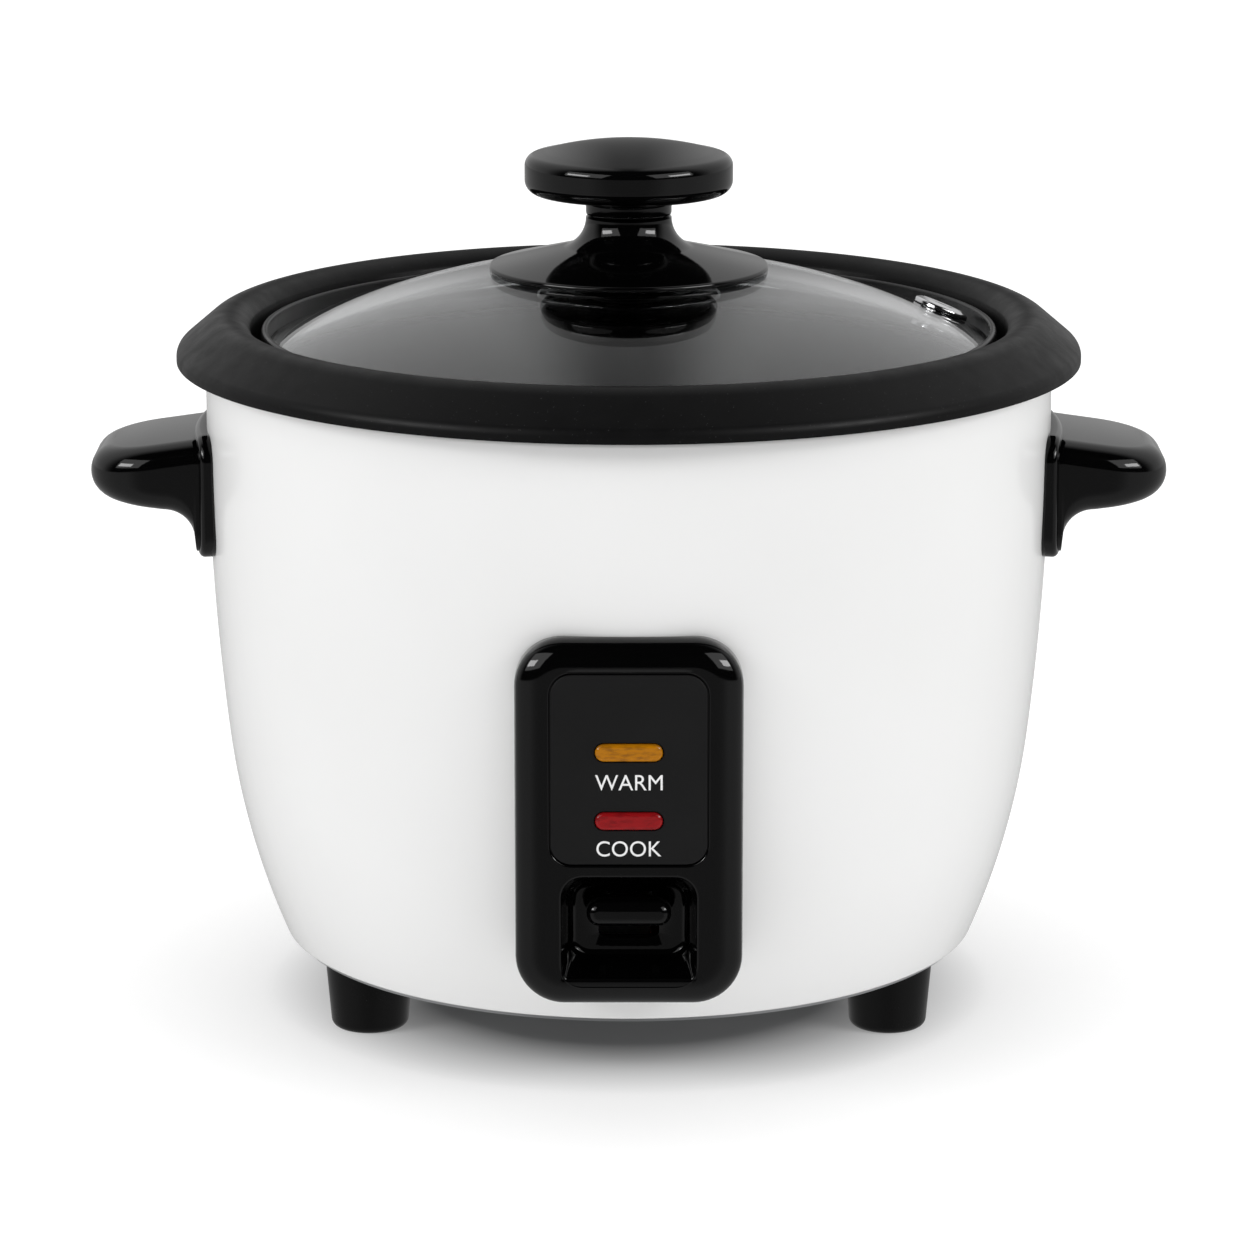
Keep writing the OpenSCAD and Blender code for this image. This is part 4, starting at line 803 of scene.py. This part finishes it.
def grown(w, h, r, by, mid, corner=8, side=4):
    """Loop of a rounded rectangle that is larger by a margin, its middle at height mid."""
    return shifted(rounded_rect(w + 2 * by, h + 2 * by, r + by, 0, corner, side), mid)


POCKET_GAP, LIP, RECESS_LIP = 0.25, 0.45, 0.7
label_size = (LABEL_W, LABEL_H, LABEL_R)
pocket_edge = grown(*label_size, POCKET_GAP, LABEL_MID, 10, 8)
pocket_lip = grown(*label_size, POCKET_GAP + LIP, LABEL_MID, 10, 8)
recess_size = (RECESS_W, RECESS_H, RECESS_R)
mouth = grown(*recess_size, 0, RECESS_MID, 10, 8)
mouth_lip = grown(*recess_size, RECESS_LIP, RECESS_MID, 10, 8)
BACK_W, BACK_LOW, BACK_HIGH, BACK_R = 25.2, 32.6, 49.9, 4.0
back_mid = (BACK_LOW + BACK_HIGH) / 2
back_outline = grown(BACK_W, BACK_HIGH - BACK_LOW, BACK_R, 0, back_mid, 10, 8)


def ring_wall(rows):
    """Faces between loops of equal length; each row is (loop, y)."""
    verts, faces = [], []
    n = len(rows[0][0])
    for loop, y in rows:
        verts += [(x, -y, z) for x, z in loop]
    for low in range(0, n * (len(rows) - 1), n):
        high = low + n
        faces += [(low + k, low + (k + 1) % n, high + (k + 1) % n, high + k) for k in range(n)]
    return verts, faces


def lerp_loops(a, b, t):
    return [(p[0] * (1 - t) + q[0] * t, p[1] * (1 - t) + q[1] * t) for p, q in zip(a, b)]


def lip_rows(outer, inner, y, r, n=4):
    """Quarter-round edge between the face and a wall."""
    angles = [90 * i / n for i in range(n + 1)]
    return [(lerp_loops(outer, inner, sin_deg(a)), y - r * (1 - cos_deg(a))) for a in angles]


FLOOR_R = 1.6               # round corner between the recess's walls and its back
SHRINK_MID = 41.65          # height about which the back shrinks inside that corner
deep_y = face_y - RECESS_D
wall_y, wall_d = face_y - RECESS_LIP, RECESS_D - RECESS_LIP - FLOOR_R
inner_back = [(x * 0.87, (z - SHRINK_MID) * 0.8 + SHRINK_MID) for x, z in back_outline]
recess_rows = lip_rows(mouth_lip, mouth, face_y, RECESS_LIP)
recess_rows += [(lerp_loops(mouth, back_outline, t), wall_y - wall_d * t)
                for t in (0.25, 0.5, 0.75, 1.0)]
recess_rows += [(lerp_loops(back_outline, inner_back, 1 - cos_deg(a)),
                 deep_y + FLOOR_R * (1 - sin_deg(a))) for a in (18, 36, 54, 72, 90)]
slit = shifted(rounded_rect(13, 10, 1.0, 0, 3, 3), LEVER_Z - 2.5)

label_floor = face_y - 0.85
pocket_rows = lip_rows(pocket_lip, pocket_edge, face_y, LIP) + [(pocket_edge, label_floor)]
lens_size = (LENS_W, LENS_H, LENS_H / 2 - 0.01)
lens_holes = [grown(*lens_size, 1.1, z) for z in (WARM_Z, COOK_Z)]
panel_skin = joined(
    stack_mesh(panel_outline, panel_profile, panel_back, cap_last=False),
    planar_fill([shifted(panel_outline(FILLET_W), PANEL_MID), pocket_lip, mouth_lip], face_y),
    ring_wall(pocket_rows), planar_fill([pocket_edge, *lens_holes], label_floor),
    ring_wall(recess_rows), planar_fill([recess_rows[-1][0], slit], deep_y))
panel = make("panel_bezel", *panel_skin, "base", M["black_gloss"], stands_for=["control_panel"],
             slot="black_gloss", sharp=40)
skin = panel.modifiers.new("wall", "SOLIDIFY")
skin.thickness, skin.offset = SKIN * MM, -1
weighted(panel)

# ------------------------------------------------ label, lenses and their printed words
LABEL_EDGE, LENS_EDGE = 0.25, 0.75
label_back = label_floor + 0.06
label_profile = ([(0, label_back), (0, face_y - LABEL_EDGE)]
                 + round_over(face_y, LABEL_EDGE, 3))


def label_ring(inset):
    return shifted(rounded_rect(LABEL_W, LABEL_H, LABEL_R, inset, 10, 8), LABEL_MID)


hole_parts = []
for z in (WARM_Z, COOK_Z):
    inner = grown(LENS_W, LENS_H, LENS_H / 2, 0.18, z)
    outer = grown(LENS_W, LENS_H, LENS_H / 2, 0.42, z)
    hole_parts.append((outer, lip_rows(outer, inner, face_y, 0.24, 3) + [(inner, label_back)]))
label_loop = label_ring(label_profile[-1][0])
label_mesh = joined(
    stack_mesh(label_ring, label_profile, facing_front, cap_last=False),
    planar_fill([label_loop] + [outer for outer, _ in hole_parts], face_y),
    *[ring_wall(rows) for _, rows in hole_parts],
    planar_fill([label_ring(0)] + [rows[-1][0] for _, rows in hole_parts], label_back))
label = make("label_plate", *label_mesh, "base", M["black_matt"], stands_for=["label_insert"],
             slot="black_matt", sharp=40)
weighted(label)


def lens_ring(z):
    return lambda inset: shifted(rounded_rect(*lens_size, inset, 10, 4), z)


lens_top = face_y + 0.5
lens_profile = ([(0, label_floor - 0.7), (0, lens_top - LENS_EDGE)]
                + round_over(lens_top, LENS_EDGE, 6))
for name, z, node_name, mat in (("lens_warm", WARM_Z, "warm_lens", "amber_lens"),
                                ("lens_cook", COOK_Z, "cook_lens", "red_lens")):
    make(name, *stack_mesh(lens_ring(z), lens_profile, facing_front, cap_first=True),
         "base", M[mat], stands_for=[node_name], slot=mat, sharp=40)

WORD_H, INK = 3.35 * MM, 0.02 * MM


def print_word(word, z, width):
    """The word as thin print on the label, scaled to its width, its middle at height z."""
    curve = bpy.data.curves.new("word_" + word.lower(), "FONT")
    curve.body, curve.size, curve.extrude = word, 4.6 * MM, INK
    curve.align_x, curve.align_y, curve.space_character = "CENTER", "CENTER", 1.02
    text = bpy.data.objects.new("word_" + word.lower(), curve)
    bpy.context.scene.collection.objects.link(text)
    bpy.context.view_layer.update()
    mesh = bpy.data.meshes.new_from_object(text)
    bpy.data.objects.remove(text)
    xs = [v.co.x for v in mesh.vertices]
    ys = [v.co.y for v in mesh.vertices]
    wide, tall = width * MM / (max(xs) - min(xs)), WORD_H / (max(ys) - min(ys))
    mid_x, mid_y = (max(xs) + min(xs)) / 2, (max(ys) + min(ys)) / 2
    for v in mesh.vertices:
        x, y, t = v.co
        v.co = ((x - mid_x) * wide, PANEL_Y * MM - INK - t, (y - mid_y) * tall + z * MM)
    piece = bpy.data.objects.new("print_" + word.lower(), mesh)
    bpy.context.scene.collection.objects.link(piece)
    mesh.materials.clear()
    mesh.materials.append(M["print_white"])
    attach(piece, "base")


print_word("WARM", 74.25, 14.2)
print_word("COOK", 59.8, 13.7)

# ------------------------------------------------ lever tab
tab_front, TAB_EDGE = -PANEL_Y - 1.6, 2.1
tab_back = tab_front - TAB_D
tab_profile = ([(1.2, tab_back), (0.35, tab_back + 0.35), (0, tab_back + 1.2),
                (0, tab_front - TAB_EDGE)] + round_over(tab_front, TAB_EDGE, 10))


def tab_ring(inset):
    return shifted(rounded_rect(TAB_W, TAB_H, TAB_H / 2 - 0.01, inset, 12, 6), LEVER_Z)


make("tab_pill", *stack_mesh(tab_ring, tab_profile, facing_front, cap_first=True),
     "lever", M["black_gloss"], stands_for=["lever_tab"], slot="black_gloss", sharp=50)


# ------------------------------------------------ coil springs
def coil_spring(name, node, wire, turns):
    """Coil of the CAD node's size, with its wire's radius."""
    low, high = (Vector(corner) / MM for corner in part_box(node))
    steps, sides, r = 36 * turns, 10, high.x - wire
    rise = (high.z - low.z - 2 * wire) / steps
    verts = []
    for i in range(steps + 1):
        turn = math.radians(10 * i)
        for k in range(sides):
            side = 2 * math.pi * k / sides
            reach = r + wire * math.cos(side)
            z = low.z + wire + rise * i + wire * math.sin(side)
            verts.append((reach * math.cos(turn), reach * math.sin(turn), z))
    faces = [tuple(range(sides)), tuple(steps * sides + k for k in reversed(range(sides)))]
    for a in range(0, steps * sides, sides):
        b = a + sides
        faces += [(a + k, b + k, b + (k + 1) % sides, a + (k + 1) % sides) for k in range(sides)]
    spring = make(name, verts, faces, None, M["steel"], stands_for=[node], slot="steel")
    ends = ((0, 0, low.z * MM), (0, 0, high.z * MM))
    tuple(ends[0])
    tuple(ends[1])
    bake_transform(spring)


coil_spring("coil_magnet", "magnet_spring", 0.35, 4)
coil_spring("coil_sensor", "sensor_spring", 0.5, 3)

# ------------------------------------------------ kept CAD nodes with softened edges
for name in ("power_inlet", "base_plate", "terminal_block", "micro_switch",
             "lever_bracket", "switch_lever"):
    bevel = nodes[name].modifiers.new("edge", "BEVEL")
    bevel.width, bevel.segments, bevel.limit_method = 0.25 * MM, 2, "ANGLE"
    bevel.angle_limit = math.radians(40)
    weighted(nodes[name])

# ------------------------------------------------ floor, light and camera
scene = bpy.context.scene
scene.view_settings.view_transform = "Standard"
scene.view_settings.look = "None"

floor_mat = Nodes("floor_paper")
# Painted light: the paper glows more with the distance from the cooker, so it turns into the white
# background; the glow fades to nothing near the cooker, where the grey paper gives a painted shadow
far = floor_mat.span(floor_mat.length(floor_mat.where), 0.0, 0.4, 0.0, 1.0)
painted_glow = floor_mat.ramp(far, [(0.12, 0.0), (0.15, 0.16), (0.21, 0.6), (0.4, 0.9), (1.0, 1.0)])
# Grey paper under a glow that grows with distance: painted shadow round the cooker, painted light
# further out
floor_mat.set(Base_Color=(0.42, 0.42, 0.42), Roughness=0.9, Specular_IOR_Level=0.05,
              Emission_Color=(1, 1, 1), Emission_Strength=painted_glow)
floor = make("floor_sheet", *lathe_mesh([(0, 0), (300, 0), (1200, 0), (6000, 0)], 64),
             None, floor_mat.mat)
floor.visible_glossy = False

world = bpy.data.worlds.new("studio")
scene.world = world
world.use_nodes = True
sky = Tree(world.node_tree)
back = sky.tree.nodes["Background"]


def sky_span(value, *limits):
    return sky.span(value, *limits, interpolation_type="SMOOTHSTEP")


# What the glossy pieces mirror: bright behind, dark in front and overhead, dim below
direction = sky.add("ShaderNodeTexCoord").outputs["Generated"]
split = sky.add("ShaderNodeSeparateXYZ", {0: direction}).outputs
behind = sky_span(split["Y"], -0.2, 0.35, 0.0, 1.0)
low = sky_span(split["Z"], 0.15, 0.95, 0.55, 0.75)
aside = sky_span(sky.calc("ABSOLUTE", split["X"]), 0.02, 0.16, 0.35, 1.0)
glow = sky.calc("MULTIPLY", sky.calc("MULTIPLY", behind, low), aside)
glow = sky.calc("ADD", glow, 0.01)
below = sky_span(split["Z"], -0.06, -0.01, 1.0, 0.0)
ground = sky_span(split["Y"], -0.97, -0.65, 0.2, 0.4)
mirrored = sky.add("ShaderNodeMix", {"Factor": below, "A": glow, "B": ground})
# The camera itself sees plain white
eye = sky.add("ShaderNodeLightPath").outputs["Is Camera Ray"]
strength = sky.add("ShaderNodeMapRange", {"Value": eye, "To Min": mirrored.outputs["Result"],
                                          "To Max": 1.0}).outputs["Result"]
sky.tree.links.new(strength, back.inputs["Strength"])
back.inputs["Color"].default_value = (1, 1, 1, 1)


AIM = Vector((0, 0, 0.09))


def softbox(name, azimuth, elevation, distance, size, radiance):
    """Area light aimed at the cooker; azimuth 0 is in front of the panel, 90 to its right."""
    light = bpy.data.lights.new(name, "AREA")
    light.shape, light.size, light.size_y = "RECTANGLE", *size
    light.energy = radiance * math.pi * size[0] * size[1]
    ob = bpy.data.objects.new(name, light)
    a, e = math.radians(azimuth), math.radians(elevation)
    way = Vector((math.sin(a) * math.cos(e), -math.cos(a) * math.cos(e), math.sin(e)))
    ob.location = AIM + way * distance
    ob.rotation_mode = "QUATERNION"
    ob.rotation_quaternion = (-way).to_track_quat("-Z", "Y")
    scene.collection.objects.link(ob)


for side_name, turn in (("left", -1), ("right", 1)):
    softbox("key_wide_" + side_name, 52 * turn, 30, 1.5, (1.25, 0.9), 1.3)
    softbox("key_core_" + side_name, 60 * turn, 25, 1.4, (0.62, 0.26), 9.5)

# The camera solved from the photograph
camera = bpy.data.objects.new("camera", bpy.data.cameras.new("camera"))
camera.location = (-0.0004, -1.16322, 0.36591)
camera.rotation_euler = (math.radians(76.37), 0, 0)
camera.data.lens, camera.data.sensor_width = 150.7, 36
camera.data.clip_start, camera.data.clip_end = 0.05, 50
scene.collection.objects.link(camera)
scene.camera = camera
